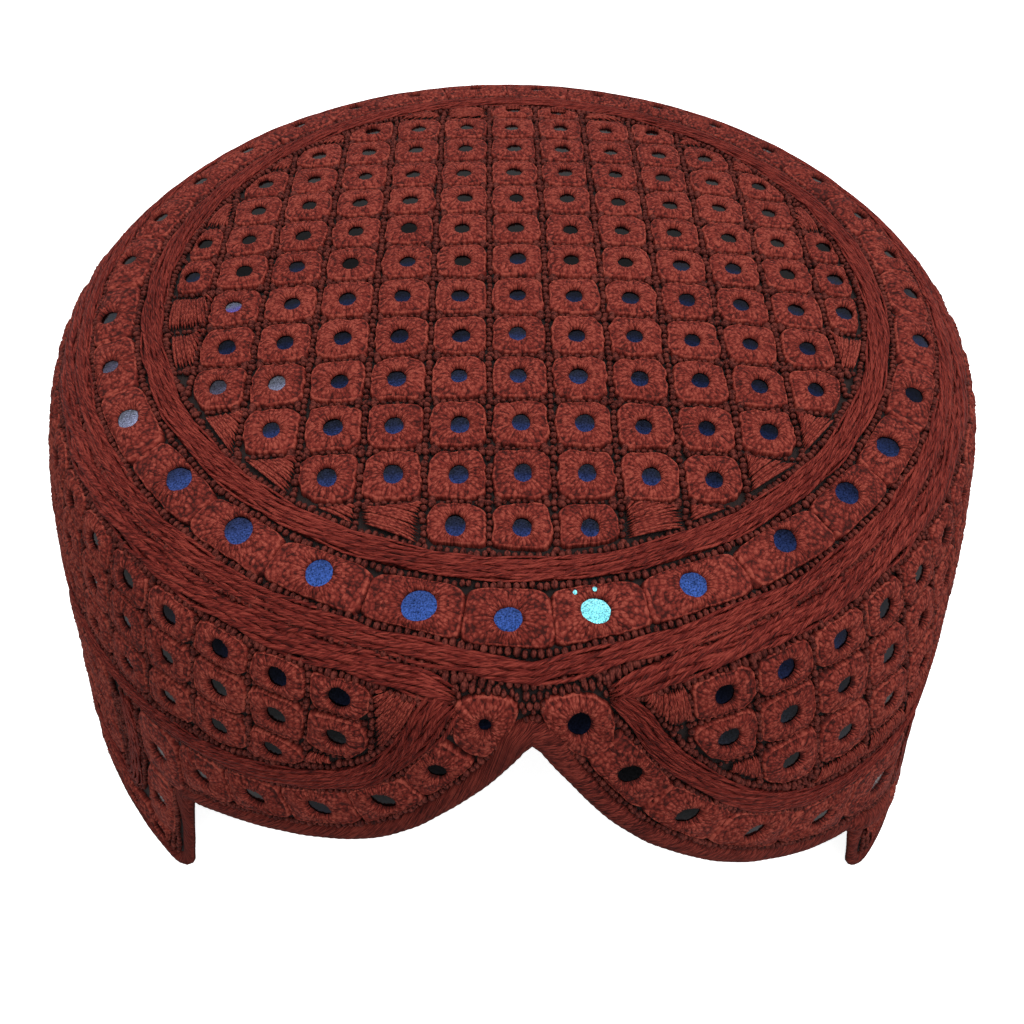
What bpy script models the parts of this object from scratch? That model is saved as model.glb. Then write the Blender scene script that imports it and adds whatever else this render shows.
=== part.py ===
# Sindhi cap: round quilted crown, flared scalloped side, mirror fields, couched bands and a bound hem.
# Metres, +Z up. The front of the cap faces -Y and it rests on its hem at z = 0.

import math

import bmesh
import bpy
from mathutils import Vector

# Driving dimensions
cap_height = 0.0945
cell_pitch = 0.010
crown_grid_shift = 0.0017
crown_field_radius = 0.0624
inner_band_radius = 0.0653
ring_mirror_radius = 0.0727
crown_edge_radius = 0.0784
crown_edge_depth = 0.0087
front_turn = 0.8
chart_radius = 0.092

# Depths below the stitched surface, which is what the photo shows
valley_drop = 0.0011
plate_drop = 0.0015
edge_valley_drop = 0.0006
edge_plate_drop = 0.0010
cloth_drop = 0.0021
cloth_thickness = 0.0020
mirror_drop = 0.0007
pad_share = 0.84
small_gap = 0.0003
bead_gap = 0.0014
band_width = 0.0040
narrow_band_width = 0.0024
band_shoulder = 0.6

# Hem binding and the mirror cells beside it
binding_width = 0.0040
binding_inner_lift = -0.0043
binding_outer_lift = -0.0003
binding_sole_height = 0.0009
edge_cell_gap = 0.0009
edge_cell_width = 0.0066
edge_cell_start = 0.0011
edge_seam = 0.0006

# Joint between the crown panel and the side panel
crown_panel_inset = 0.0006
side_panel_top = 0.0096

# Mirror radii
crown_mirror = 0.0019
ring_mirror = 0.0024
side_mirror = 0.0022
front_edge_mirror = 0.0024
back_edge_mirror = 0.0020
back_mirror = 0.0021

# Cells this small have no pad, and smaller ones are left out. Shares of a whole cell
smallest_pad = 0.12
smallest_cell = 0.04
smallest_mirror_cell = 0.42

# Crown section. Columns: radius, depth below the apex
crown_section = [
    (0.000, 0.0000),
    (0.020, 0.0005),
    (0.040, 0.0020),
    (0.062, 0.0046),
    (ring_mirror_radius, 0.0061),
    (crown_edge_radius, crown_edge_depth),
]

# Side section. Columns: depth below the apex, radius
side_section = [
    (crown_edge_depth, crown_edge_radius),
    (0.0140, 0.0842),
    (0.0220, 0.0872),
    (0.0350, 0.0903),
    (0.0500, 0.0927),
    (0.0650, 0.0947),
    (0.0800, 0.0967),
    (0.0950, 0.0990),
]

# The right front lobe stands out a little further than the left one, and the side behind it is tucked in
bulge_height = 0.0028
tuck_depth = 0.0038
tuck_slack = 0.0009

# Front hem. Columns: degrees from the front, depth on the left, depth on the right
hem_front = [
    (0.0, 0.0202, 0.0202),
    (3.3, 0.0273, 0.0273),
    (7.0, 0.0338, 0.0355),
    (11.0, 0.0405, 0.0425),
    (15.0, 0.0456, 0.0482),
    (20.0, 0.0498, 0.0546),
    (25.0, 0.0530, 0.0600),
    (31.0, 0.0570, 0.0656),
    (38.6, 0.0627, 0.0715),
]
notch_azimuth = 40.0
side_edge_lean = 70.0
notch_round = 0.0012
hem_corner_round = 0.0056
band_corner_round = 0.0050

# Lower couched band. Columns: degrees from the front, depth on the left, depth on the right
lower_band = [
    (10.0, 0.0165, 0.0160),
    (12.0, 0.0220, 0.0208),
    (15.0, 0.0280, 0.0272),
    (19.0, 0.0316, 0.0340),
    (25.0, 0.0350, 0.0413),
    (31.0, 0.0378, 0.0464),
    (38.0, 0.0402, 0.0490),
    (46.0, 0.0420, 0.0480),
    (58.0, 0.0440, 0.0450),
    (70.0, 0.0440, 0.0440),
    (180.0, 0.0440, 0.0440),
]
upper_band_depth = 0.0112
field_top_depth = 0.0132
field_rows = [0.0132, 0.0206, 0.0294, 0.0396, 0.0500]
field_tip_azimuth = 12.6
field_first_column = 19.2
field_columns = 47
back_field_rows = 3
back_field_columns = 32
back_edge_columns = 33
front_edge_cells = 6

# Crown grid, charted from the photo. Columns: grid column, first and last row with a mirror
crown_columns = [
    (-6, 6, 7),
    (-5, 3, 9),
    (-4, 2, 10),
    (-3, 1, 11),
    (-2, 1, 11),
    (-1, 0, 11),
    (0, 0, 12),
    (1, 0, 12),
    (2, 1, 11),
    (3, 1, 11),
    (4, 2, 10),
    (5, 3, 9),
    (6, 5, 7),
]

# Ring of mirrors round the crown. Columns: number of cells, degrees each, from the front round by the right
ring_first_azimuth = -2.0
ring_runs = [
    (16, 11.2),
    (8, 10.9),
    (8, 11.7),
]


# Clear the scene
for old_object in list(bpy.data.objects):
    bpy.data.objects.remove(old_object, do_unlink=True)


# Curves through the tables

def smooth_table(points, x):
    """Monotone cubic through (x, y) points."""
    if x <= points[0][0]:
        return points[0][1]
    last = len(points) - 1
    if x >= points[last][0]:
        return points[last][1]
    slopes = [
        (points[i + 1][1] - points[i][1]) / (points[i + 1][0] - points[i][0])
        for i in range(last)
    ]
    tangents = [slopes[0]]
    for i in range(1, last):
        product = slopes[i - 1] * slopes[i]
        if product <= 0:
            tangents.append(0.0)
        else:
            tangents.append(2 * product / (slopes[i - 1] + slopes[i]))
    tangents.append(slopes[-1])
    for i in range(last):
        if x <= points[i + 1][0]:
            break
    width = points[i + 1][0] - points[i][0]
    t = (x - points[i][0]) / width
    from_start = (1 + 2 * t) * (1 - t) ** 2 * points[i][1] + t * (1 - t) ** 2 * width * tangents[i]
    from_end = t * t * (3 - 2 * t) * points[i + 1][1] - t * t * (1 - t) * width * tangents[i + 1]
    return from_start + from_end


def ease(x, start, end):
    """Goes smoothly from 0 at start to 1 at end."""
    t = min(1.0, max(0.0, (x - start) / (end - start)))
    return t * t * (3 - 2 * t)


def signed_azimuth(azimuth):
    """The same azimuth between -180 and 180 degrees, + to the right."""
    return (azimuth + 180.0) % 360.0 - 180.0


def sided(table, azimuth):
    """Reads a table that has a left and a right column."""
    side = signed_azimuth(azimuth)
    column = 2 if side > 0 else 1
    return smooth_table([(row[0], row[column]) for row in table], abs(side))


def tucked(azimuth):
    """0 outside the tuck and 1 in its middle."""
    side = signed_azimuth(azimuth)
    return ease(side, 41.0, 66.0) * (1 - ease(side, 110.0, 160.0))


def side_radius(azimuth, depth):
    side = signed_azimuth(azimuth)
    across = ease(side, -5.0, 23.0) * (1 - ease(side, 44.0, 80.0))
    bulge = bulge_height * across * ease(depth, 0.012, 0.046)
    return smooth_table(side_section, depth) + bulge - tuck_depth * tucked(azimuth) * ease(depth, 0.012, 0.060)


# Places on the cap. lift is measured outward from the stitched surface

def on_crown(x, y, lift):
    radius = math.hypot(x, y)
    step = 0.0005
    low = max(0.0, radius - step)
    high = min(crown_edge_radius, radius + step)
    slope = (smooth_table(crown_section, high) - smooth_table(crown_section, low)) / (high - low)
    length = math.hypot(1.0, slope)
    out = slope / length
    up = 1.0 / length
    direction = Vector((x, y, 0.0)) / radius if radius > 1e-9 else Vector((0.0, 0.0, 0.0))
    place = direction * (radius + lift * out)
    place.z = cap_height - smooth_table(crown_section, radius) + lift * up
    return place


def on_side(along, depth, lift):
    azimuth = math.degrees(along / chart_radius)
    step = 0.0005
    slope = (side_radius(azimuth, depth + step) - side_radius(azimuth, depth - step)) / (2 * step)
    length = math.hypot(1.0, slope)
    out = 1.0 / length
    up = slope / length
    radius = side_radius(azimuth, depth) + lift * out
    turned = math.radians(azimuth + front_turn)
    return Vector((
        radius * math.sin(turned),
        -radius * math.cos(turned),
        cap_height - depth + lift * up,
    ))


def along_side(azimuth):
    return math.radians(azimuth) * chart_radius


full_turn = along_side(360.0)


# Materials and objects

def make_material(name, colour, roughness, metallic):
    material = bpy.data.materials.new(name)
    material.use_nodes = True
    shader = material.node_tree.nodes["Principled BSDF"]
    shader.inputs["Base Color"].default_value = (*colour, 1.0)
    shader.inputs["Roughness"].default_value = roughness
    shader.inputs["Metallic"].default_value = metallic
    material.diffuse_color = (*colour, 1.0)
    return material


def add_object(name, mesh_data, material, smooth):
    """Makes one object from a bmesh and turns its faces outward."""
    bmesh.ops.recalc_face_normals(mesh_data, faces=mesh_data.faces)
    if mesh_data.calc_volume(signed=True) < 0:
        bmesh.ops.reverse_faces(mesh_data, faces=mesh_data.faces)
    mesh = bpy.data.meshes.new(name)
    mesh_data.to_mesh(mesh)
    mesh_data.free()
    mesh.materials.append(material)
    if smooth:
        mesh.shade_smooth()
    made = bpy.data.objects.new(name, mesh)
    bpy.context.collection.objects.link(made)
    return made


# Lines in the flat chart of the side or of the crown

def resample(line, count):
    """Divides a line into equal lengths."""
    lengths = [0.0]
    for a, b in zip(line, line[1:]):
        lengths.append(lengths[-1] + math.hypot(b[0] - a[0], b[1] - a[1]))
    out = []
    place = 0
    for k in range(count + 1):
        target = lengths[-1] * k / count
        while place < len(line) - 2 and lengths[place + 1] < target:
            place += 1
        span = lengths[place + 1] - lengths[place]
        t = min(1.0, (target - lengths[place]) / span)
        a = line[place]
        b = line[place + 1]
        out.append((a[0] + (b[0] - a[0]) * t, a[1] + (b[1] - a[1]) * t))
    return out


def normals_of(line, period=0.0):
    """Normals on the line's right hand. A period joins the ends of a line that goes all the way round."""
    out = []
    last = len(line) - 1
    for i, point in enumerate(line):
        before = line[max(0, i - 1)]
        after = line[min(last, i + 1)]
        if period and i == 0:
            before = (line[last][0] - period, line[last][1])
        if period and i == last:
            after = (line[0][0] + period, line[0][1])
        run = after[0] - before[0]
        fall = after[1] - before[1]
        length = math.hypot(run, fall)
        out.append((fall / length, -run / length))
    return out


def moved(line, distance, period=0.0):
    normals = normals_of(line, period)
    return [(p[0] + n[0] * distance, p[1] + n[1] * distance) for p, n in zip(line, normals)]


def middle_of(a, b):
    return ((a[0] + b[0]) / 2, (a[1] + b[1]) / 2)


def nearest_on(line, point):
    best = None
    for a, b in zip(line, line[1:]):
        run = (b[0] - a[0], b[1] - a[1])
        length = run[0] ** 2 + run[1] ** 2
        t = ((point[0] - a[0]) * run[0] + (point[1] - a[1]) * run[1]) / length
        t = min(1.0, max(0.0, t))
        place = (a[0] + run[0] * t, a[1] + run[1] * t)
        gap = math.hypot(place[0] - point[0], place[1] - point[1])
        if best is None or gap < best[0]:
            best = (gap, place)
    return best[1]


def fillet(before, corner, after, radius, steps):
    """Rounds a corner between two straight runs."""
    a = Vector(before) - Vector(corner)
    b = Vector(after) - Vector(corner)
    a.normalize()
    b.normalize()
    half = a.angle(b) / 2
    reach = radius / math.tan(half)
    centre = Vector(corner) + (a + b).normalized() * (radius / math.sin(half))
    start = Vector(corner) + a * reach - centre
    end = Vector(corner) + b * reach - centre
    whole = math.atan2(start.x * end.y - start.y * end.x, start.dot(end))
    out = []
    for k in range(steps + 1):
        turn = whole * k / steps
        c = math.cos(turn)
        s = math.sin(turn)
        out.append((centre.x + start.x * c - start.y * s, centre.y + start.x * s + start.y * c))
    return out


# Hem outline

hem_depth = cap_height


def side_edge_azimuth(depth, notch_depth):
    """The front edge of the side piece leans back a little on its way down."""
    return notch_azimuth + (depth - notch_depth) * side_edge_lean


def half_hem(side):
    """Hem from just beside the front cusp to the flat back hem. side is 1 right, -1 left."""
    column = 2 if side > 0 else 1
    table = [(row[0], row[column]) for row in hem_front]
    notch_depth = table[-1][1]
    line = []
    for azimuth in [1.4, 3.3, 5.5, 8.0, 11.0, 15.0, 20.0, 25.0, 30.5, 35.5]:
        line.append((along_side(azimuth), smooth_table(table, azimuth)))
    before = line[-1]
    notch = (along_side(notch_azimuth), notch_depth + 0.0010)
    corner = (along_side(side_edge_azimuth(hem_depth, notch_depth)), hem_depth)
    line += fillet(before, notch, corner, notch_round, 3)
    line.append(middle_of(notch, corner))
    beyond = (along_side(60.0), hem_depth)
    line += fillet(notch, corner, beyond, hem_corner_round, 4)
    return [(side * u, v) for u, v in line]


def hem_line():
    """Whole hem, from the front cusp round by the right."""
    right = half_hem(1)
    left = [(full_turn + u, v) for u, v in reversed(half_hem(-1))]
    start = right[-1][0]
    end = left[0][0]
    steps = 30
    back = [(start + (end - start) * k / steps, hem_depth) for k in range(1, steps)]
    cusp = (0.0, hem_front[0][1] + 0.0006)
    return [cusp] + right + back + left


def lower_band_line():
    """Centre of the lower couched band, from the front right round to the front left."""
    stops = [10.0, 11.0, 12.5, 14.5, 17.0, 20.0, 24.0, 28.0, 33.0, 38.0, 44.0, 51.0, 59.0]
    azimuths = stops + [69.0 + 9.25 * k for k in range(25)] + [360.0 - a for a in reversed(stops)]
    return [(along_side(a), sided(lower_band, a)) for a in azimuths]


def upper_band_line():
    azimuths = [9.0 + 342.0 * k / 38 for k in range(39)]
    return [(along_side(a), upper_band_depth) for a in azimuths]


# Solids

def band_section(width, height):
    """Section of a couched band. Columns: offset across the band, lift."""
    half = width / 2
    low = -plate_drop
    return [(-half, low), (-band_shoulder * half, height), (band_shoulder * half, height), (half, low)]


def ribbon(name, line, section, place, material, period=0.0, smooth=True):
    """Sweeps a section along a chart line. Section columns: offset across the line, lift."""
    normals = normals_of(line, period)
    mesh_data = bmesh.new()
    rings = []
    for point, normal in zip(line, normals):
        ring = []
        for across, lift in section:
            spot = place(point[0] + normal[0] * across, point[1] + normal[1] * across, lift)
            ring.append(mesh_data.verts.new(spot))
        rings.append(ring)
    pairs = list(zip(rings, rings[1:]))
    if period:
        pairs.append((rings[-1], rings[0]))
    for first, second in pairs:
        join_rings(mesh_data, first, second)
    if not period:
        mesh_data.faces.new(rings[0])
        mesh_data.faces.new(list(reversed(rings[-1])))
    return add_object(name, mesh_data, material, smooth)


def centre_of(corners):
    area = 0.0
    cx = 0.0
    cy = 0.0
    for (ax, ay), (bx, by) in zip(corners, corners[1:] + corners[:1]):
        cross = ax * by - bx * ay
        area += cross / 2
        cx += (ax + bx) * cross / 6
        cy += (ay + by) * cross / 6
    return (cx / area, cy / area), abs(area)


def field(name, cells, place, material, valley=valley_drop, base=plate_drop):
    """One quilted plate of raised pads. Each cell is a dictionary made by cell()."""
    mesh_data = bmesh.new()
    tops = {}
    bases = {}

    def shared(store, corner, lift):
        key = (round(corner[0], 6), round(corner[1], 6))
        if key not in store:
            store[key] = mesh_data.verts.new(place(corner[0], corner[1], lift))
        return store[key]

    walls = {}
    for each in cells:
        corners = each["corners"]
        centre = each["centre"]
        count = len(corners)
        outer = [shared(tops, c, -valley) for c in corners]
        under = [shared(bases, c, -base) for c in corners]
        if each["arched"]:
            middle = centre_of(corners)[0]
            top_of_arch = mesh_data.verts.new(place(middle[0], middle[1], -base))
            for k in range(count):
                mesh_data.faces.new((under[k], top_of_arch, under[(k + 1) % count]))
        else:
            mesh_data.faces.new(list(reversed(under)))
        for k in range(count):
            n = (k + 1) % count
            wall = (outer[n], outer[k], under[k], under[n])
            walls.setdefault(frozenset((outer[k], outer[n])), []).append(wall)
        if not each["pad"]:
            mesh_data.faces.new(outer)
            continue
        rim = []
        for c in corners:
            x = centre[0] + (c[0] - centre[0]) * each["share"]
            y = centre[1] + (c[1] - centre[1]) * each["share"]
            rim.append(mesh_data.verts.new(place(x, y, 0.0)))
        join_rings(mesh_data, outer, rim)
        if each["sunk"]:
            glass = []
            for c in corners:
                angle = math.atan2(c[1] - centre[1], c[0] - centre[0])
                x = centre[0] + each["mirror"] * math.cos(angle)
                y = centre[1] + each["mirror"] * math.sin(angle)
                glass.append(mesh_data.verts.new(place(x, y, -mirror_drop)))
            join_rings(mesh_data, rim, glass)
            rim = glass
        mesh_data.faces.new(rim)
    for pair in walls.values():
        if len(pair) == 1:
            mesh_data.faces.new(pair[0])
    return add_object(name, mesh_data, material, False)


def cell(corners, mirror, sunk, pad=True, centre=None, arched=False):
    """A cell of a field. Without a sunk mirror, the pad's flat top is as wide as the mirror."""
    middle, area = centre_of(corners)
    share = pad_share
    if mirror and not sunk:
        share = 2 * mirror / math.sqrt(area)
    return {
        "corners": corners,
        "mirror": mirror,
        "sunk": sunk and mirror > 0,
        "pad": pad,
        "centre": centre or middle,
        "arched": arched,
        "share": share,
    }


def join_rings(mesh_data, outer, inner):
    count = len(outer)
    for k in range(count):
        n = (k + 1) % count
        mesh_data.faces.new((outer[k], outer[n], inner[n], inner[k]))


def keep_above(corners, a, b):
    """Keeps the part of a polygon above the line from a to b, where a is left of b and depth grows down."""
    def side(p):
        return (b[0] - a[0]) * (p[1] - a[1]) - (b[1] - a[1]) * (p[0] - a[0])

    out = []
    for p, q in zip(corners, corners[1:] + corners[:1]):
        sp = side(p)
        sq = side(q)
        if sp <= 1e-9:
            out.append(p)
        if (sp < -1e-9 and sq > 1e-9) or (sp > 1e-9 and sq < -1e-9):
            t = sp / (sp - sq)
            out.append((p[0] + (q[0] - p[0]) * t, p[1] + (q[1] - p[1]) * t))
    return out


def keep_in_circle(corners, radius):
    out = []
    for p, q in zip(corners, corners[1:] + corners[:1]):
        if math.hypot(*p) <= radius:
            out.append(p)
        if (math.hypot(*p) <= radius) != (math.hypot(*q) <= radius):
            a = (q[0] - p[0]) ** 2 + (q[1] - p[1]) ** 2
            b = 2 * (p[0] * (q[0] - p[0]) + p[1] * (q[1] - p[1]))
            c = p[0] ** 2 + p[1] ** 2 - radius ** 2
            root = math.sqrt(b * b - 4 * a * c)
            for t in ((-b - root) / (2 * a), (-b + root) / (2 * a)):
                if 0 < t < 1:
                    out.append((p[0] + (q[0] - p[0]) * t, p[1] + (q[1] - p[1]) * t))
                    break
    return out


# Crown

def crown_panel(material):
    """Dome of cloth under the crown's embroidery."""
    radii = [0.022, 0.046, 0.066, crown_edge_radius - crown_panel_inset]
    segments = 34
    mesh_data = bmesh.new()
    skins = []
    for lift in (-cloth_drop, -cloth_drop - cloth_thickness):
        centre = mesh_data.verts.new(on_crown(0.0, 0.0, lift))
        rings = []
        for radius in radii:
            ring = []
            for k in range(segments):
                angle = 2 * math.pi * k / segments
                ring.append(mesh_data.verts.new(
                    on_crown(radius * math.cos(angle), radius * math.sin(angle), lift)))
            rings.append(ring)
        for k in range(segments):
            n = (k + 1) % segments
            mesh_data.faces.new((centre, rings[0][k], rings[0][n]))
            for inner, outer in zip(rings, rings[1:]):
                mesh_data.faces.new((inner[k], outer[k], outer[n], inner[n]))
        skins.append(rings[-1])
    for k in range(segments):
        n = (k + 1) % segments
        mesh_data.faces.new((skins[0][k], skins[1][k], skins[1][n], skins[0][n]))
    return add_object("crown_panel", mesh_data, material, True)


def crown_mirror_field(material):
    """Square grid of mirror cells, cut round by the inner band's bead row."""
    rows_of = {column: (first, last) for column, first, last in crown_columns}
    half = cell_pitch / 2
    cells = []
    for column in range(-6, 7):
        for row in range(-1, 14):
            x = column * cell_pitch
            y = (row - 6) * cell_pitch + crown_grid_shift
            corners = [(x - half, y - half), (x + half, y - half), (x + half, y + half), (x - half, y + half)]
            corners = keep_in_circle(corners, crown_field_radius)
            if len(corners) < 3:
                continue
            share = centre_of(corners)[1] / cell_pitch ** 2
            if share < smallest_cell:
                continue
            first, last = rows_of[column]
            mirror = crown_mirror if first <= row <= last else 0.0
            cells.append(cell(corners, mirror, True, pad=share > smallest_pad))
    return field("crown_mirror_field", cells, on_crown, material)


def crown_ring(name, radius, width, height, segments, material):
    """A round couched band on the crown."""
    mesh_data = bmesh.new()
    rings = []
    for k in range(segments):
        angle = 2 * math.pi * k / segments
        ring = []
        for across, lift in band_section(width, height):
            x = (radius + across) * math.cos(angle)
            y = (radius + across) * math.sin(angle)
            ring.append(mesh_data.verts.new(on_crown(x, y, lift)))
        rings.append(ring)
    for first, second in zip(rings, rings[1:] + rings[:1]):
        join_rings(mesh_data, first, second)
    return add_object(name, mesh_data, material, True)


def crown_mirror_ring(material):
    """Ring of larger mirror cells between the two round bands."""
    inner = inner_band_radius + band_width / 2 + bead_gap
    outer = crown_edge_radius - narrow_band_width / 2 - bead_gap
    edges = []
    azimuth = ring_first_azimuth
    for count, step in ring_runs:
        for _ in range(count):
            edges.append((azimuth - step / 2, azimuth, azimuth + step / 2))
            azimuth += step
    cells = []
    starts = [(edges[k - 1][1] + edges[k][1] - (360.0 if k == 0 else 0.0)) / 2 for k in range(len(edges))]
    for k, edge in enumerate(edges):
        low = starts[k]
        high = starts[(k + 1) % len(starts)] + (360.0 if k == len(edges) - 1 else 0.0)
        corners = []
        for azimuth, radius in ((low, inner), (low, outer), (high, outer), (high, inner)):
            turned = math.radians(azimuth)
            corners.append((radius * math.sin(turned), -radius * math.cos(turned)))
        middle = math.radians(edge[1])
        centre = (ring_mirror_radius * math.sin(middle), -ring_mirror_radius * math.cos(middle))
        cells.append(cell(corners, ring_mirror, True, centre=centre))
    return field("crown_mirror_ring", cells, on_crown, material)


# Side

def side_panel(hem, material):
    """Hollow flared wall, cut along the scalloped hem."""
    edge = moved(hem, binding_width + small_gap, full_turn)
    top = side_panel_top
    rows = 3
    mesh_data = bmesh.new()
    skins = []
    for lift in (-cloth_drop, -cloth_drop - cloth_thickness):
        grid = []
        for u, v in edge:
            column = []
            slack = tuck_slack * tucked(math.degrees(u / chart_radius))
            for r in range(rows + 1):
                t = (r / rows) ** 1.4
                column.append(mesh_data.verts.new(on_side(u, top + (v - top) * t, lift - slack * t)))
            grid.append(column)
        skins.append(grid)
    count = len(edge)
    for grid in skins:
        for k in range(count):
            n = (k + 1) % count
            for r in range(rows):
                mesh_data.faces.new((grid[k][r], grid[k][r + 1], grid[n][r + 1], grid[n][r]))
    for k in range(count):
        n = (k + 1) % count
        for r in (0, rows):
            mesh_data.faces.new((skins[0][k][r], skins[0][n][r], skins[1][n][r], skins[1][k][r]))
    return add_object("side_panel", mesh_data, material, True)


def side_mirror_field(material):
    """Three rows of mirror cells round the side, cut below by the lower band."""
    step = (360.0 - 2 * field_first_column) / (field_columns - 1)
    edges = [field_first_column + (k - 0.5) * step for k in range(field_columns + 1)]
    edges = [field_tip_azimuth] + edges + [360.0 - field_tip_azimuth]
    clearance = band_width / 2 + bead_gap
    floor = moved(lower_band_line(), clearance)

    cells = []
    for low, high in zip(edges, edges[1:]):
        a = along_side(low)
        b = along_side(high)
        cut = ((a, smooth_table(floor, a)), (b, smooth_table(floor, b)))
        for row, (top, bottom) in enumerate(zip(field_rows, field_rows[1:])):
            corners = keep_above([(a, bottom), (b, bottom), (b, top), (a, top)], *cut)
            if len(corners) < 3:
                continue
            share = centre_of(corners)[1] / ((b - a) * (bottom - top))
            if share < smallest_cell:
                continue
            at_tip = low < field_first_column - step or high > 360.0 - field_first_column + step
            has_mirror = row < 3 and share > smallest_mirror_cell and not at_tip
            cells.append(cell(corners, side_mirror if has_mirror else 0.0, False, pad=share > smallest_pad))
    return field("side_mirror_field", cells, on_side, material)


def front_edge_mirrors(name, hem, side, material):
    """Mirror cells between the front hem and the lower band. side is 1 right, -1 left."""
    def facing(line):
        """The line's part on this side, as if it were on the right."""
        wrapped = [((u + full_turn / 2) % full_turn - full_turn / 2, v) for u, v in line]
        return sorted((side * u, v) for u, v in wrapped if side * u > 0)

    limit = along_side(notch_azimuth) - 0.0012
    inner = facing(moved(hem, binding_width + edge_cell_gap, full_turn))
    floor = [p for p in inner if edge_cell_start < p[0] < limit]
    band = facing(moved(lower_band_line(), -(band_width / 2 + bead_gap)))
    low_enough = [p for p in band if p[1] > field_top_depth + 0.002]
    roof = [(edge_cell_start, field_top_depth)] + low_enough
    stations = resample(floor, front_edge_cells)
    halfway = resample(floor, 2 * front_edge_cells)[1::2]
    ceiling = [nearest_on(roof, p) for p in stations]
    ceiling[0] = roof[0]
    beyond = next(p for p in roof if p[0] > limit)
    ceiling[-1] = (stations[-1][0], nearest_on(roof, (stations[-1][0], beyond[1]))[1])
    cells = []
    for k in range(front_edge_cells):
        corners = [stations[k], halfway[k], stations[k + 1], ceiling[k + 1], ceiling[k]]
        corners = [(side * u, v) for u, v in corners]
        if side < 0:
            corners.reverse()
        cells.append(cell(corners, front_edge_mirror, True, arched=True))
    return field(name, cells, on_side, material, edge_valley_drop, edge_plate_drop)


def side_edge_along(side, depth):
    """Where the front edge of the side piece is at this depth, as if it were on the right."""
    notch_depth = hem_front[-1][2 if side > 0 else 1]
    return along_side(side_edge_azimuth(max(depth, notch_depth), notch_depth))


def below_lower_band(side):
    """Depth just under the lower band, at the side piece's front edge."""
    return sided(lower_band, side * (notch_azimuth + 5.0)) + band_width / 2 + bead_gap + 2 * small_gap


def back_edge_mirrors(material):
    """Mirror cells down the side piece's front edges and along the back hem."""
    near = binding_width + edge_cell_gap
    far = near + edge_cell_width
    floor = hem_depth - near
    roof = hem_depth - far
    cells = []
    ends = {}
    for side in (1, -1):
        top = below_lower_band(side)
        over_notch = hem_front[-1][2 if side > 0 else 1] - near
        seam = side_edge_along(side, over_notch)
        outer = side_edge_along(side, roof) + near
        inner = side_edge_along(side, roof) + far
        outlines = [
            [(seam + edge_seam, over_notch), (seam + near, over_notch), (seam + far, over_notch),
             (seam + far, top), (seam + edge_seam, top)],
            [(outer, roof), (inner, roof), (seam + far, over_notch), (seam + near, over_notch)],
            [(outer + 0.0016, floor), (inner, floor), (inner, roof), (outer, roof)],
        ]
        ends[side] = inner if side > 0 else full_turn - inner
        for corners in outlines:
            if side < 0:
                corners = [(full_turn - u, v) for u, v in reversed(corners)]
            cells.append(cell(corners, back_edge_mirror, False))
    step = (ends[-1] - ends[1]) / back_edge_columns
    for k in range(back_edge_columns):
        a = ends[1] + step * k
        b = ends[1] + step * (k + 1)
        cells.append(cell([(a, floor), (b, floor), (b, roof), (a, roof)], back_edge_mirror, False))
    return field("back_edge_mirrors", cells, on_side, material)


def back_band(material):
    """Couched band inside the side piece's edge cells."""
    offset = binding_width + edge_cell_gap + edge_cell_width + bead_gap + band_width / 2
    bottom = hem_depth - offset
    halves = {}
    for side in (1, -1):
        front = side_edge_along(side, 0.0) + offset
        corner = (side_edge_along(side, hem_depth) + offset, bottom)
        knee = (front, hem_front[-1][2 if side > 0 else 1])
        beyond = (corner[0] + 0.05, bottom)
        halves[side] = [(front, below_lower_band(side)), knee]
        halves[side] += fillet(knee, corner, beyond, band_corner_round, 3)
    right = halves[1]
    left = [(full_turn - u, v) for u, v in reversed(halves[-1])]
    steps = 32
    reach = left[0][0] - right[-1][0]
    middle = [(right[-1][0] + reach * k / steps, bottom) for k in range(1, steps)]
    line = right + middle + left
    return ribbon("back_band", line, band_section(band_width, 0.0), on_side, material)


def back_mirror_field(material):
    """Mirror cells on the sides and back, between the two bands."""
    edge = band_width / 2 + bead_gap
    offset = binding_width + edge_cell_gap + edge_cell_width + band_width + 2 * bead_gap
    bottom = hem_depth - offset
    start = side_edge_along(1, hem_depth) + offset + 2 * small_gap
    step = (full_turn - 2 * start) / back_field_columns

    def corner(u, row):
        azimuth = math.degrees(u / chart_radius)
        top = max(lower_band[-1][1], sided(lower_band, azimuth)) + edge
        return (u, top + (bottom - top) * row / back_field_rows)

    cells = []
    for k in range(back_field_columns):
        a = start + step * k
        b = start + step * (k + 1)
        for row in range(back_field_rows):
            corners = [corner(a, row + 1), corner(b, row + 1), corner(b, row), corner(a, row)]
            cells.append(cell(corners, back_mirror, False))
    return field("back_mirror_field", cells, on_side, material)


def hem_binding(hem, material):
    """Rolled binding along the whole hem. Its back stretch is flat underneath and stands on the floor."""
    section = [
        (0.0, binding_inner_lift + 0.0008),
        (0.0, binding_outer_lift - 0.0010),
        (binding_width * 0.4, binding_outer_lift),
        (binding_width, binding_outer_lift - 0.0008),
        (binding_width, binding_inner_lift + 0.0004),
    ]
    made = ribbon("hem_binding", hem, section, on_side, material, full_turn)
    for vertex in made.data.vertices:
        if vertex.co.z < binding_sole_height:
            vertex.co.z = 0.0
    return made


thread = make_material("rust_thread", (0.165, 0.030, 0.022), 0.62, 0.0)
bright_thread = make_material("rust_satin_thread", (0.205, 0.040, 0.028), 0.48, 0.0)
dark_thread = make_material("binding_cord", (0.105, 0.020, 0.016), 0.66, 0.0)
ground_cloth = make_material("ground_cloth", (0.026, 0.010, 0.008), 0.85, 0.0)

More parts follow.
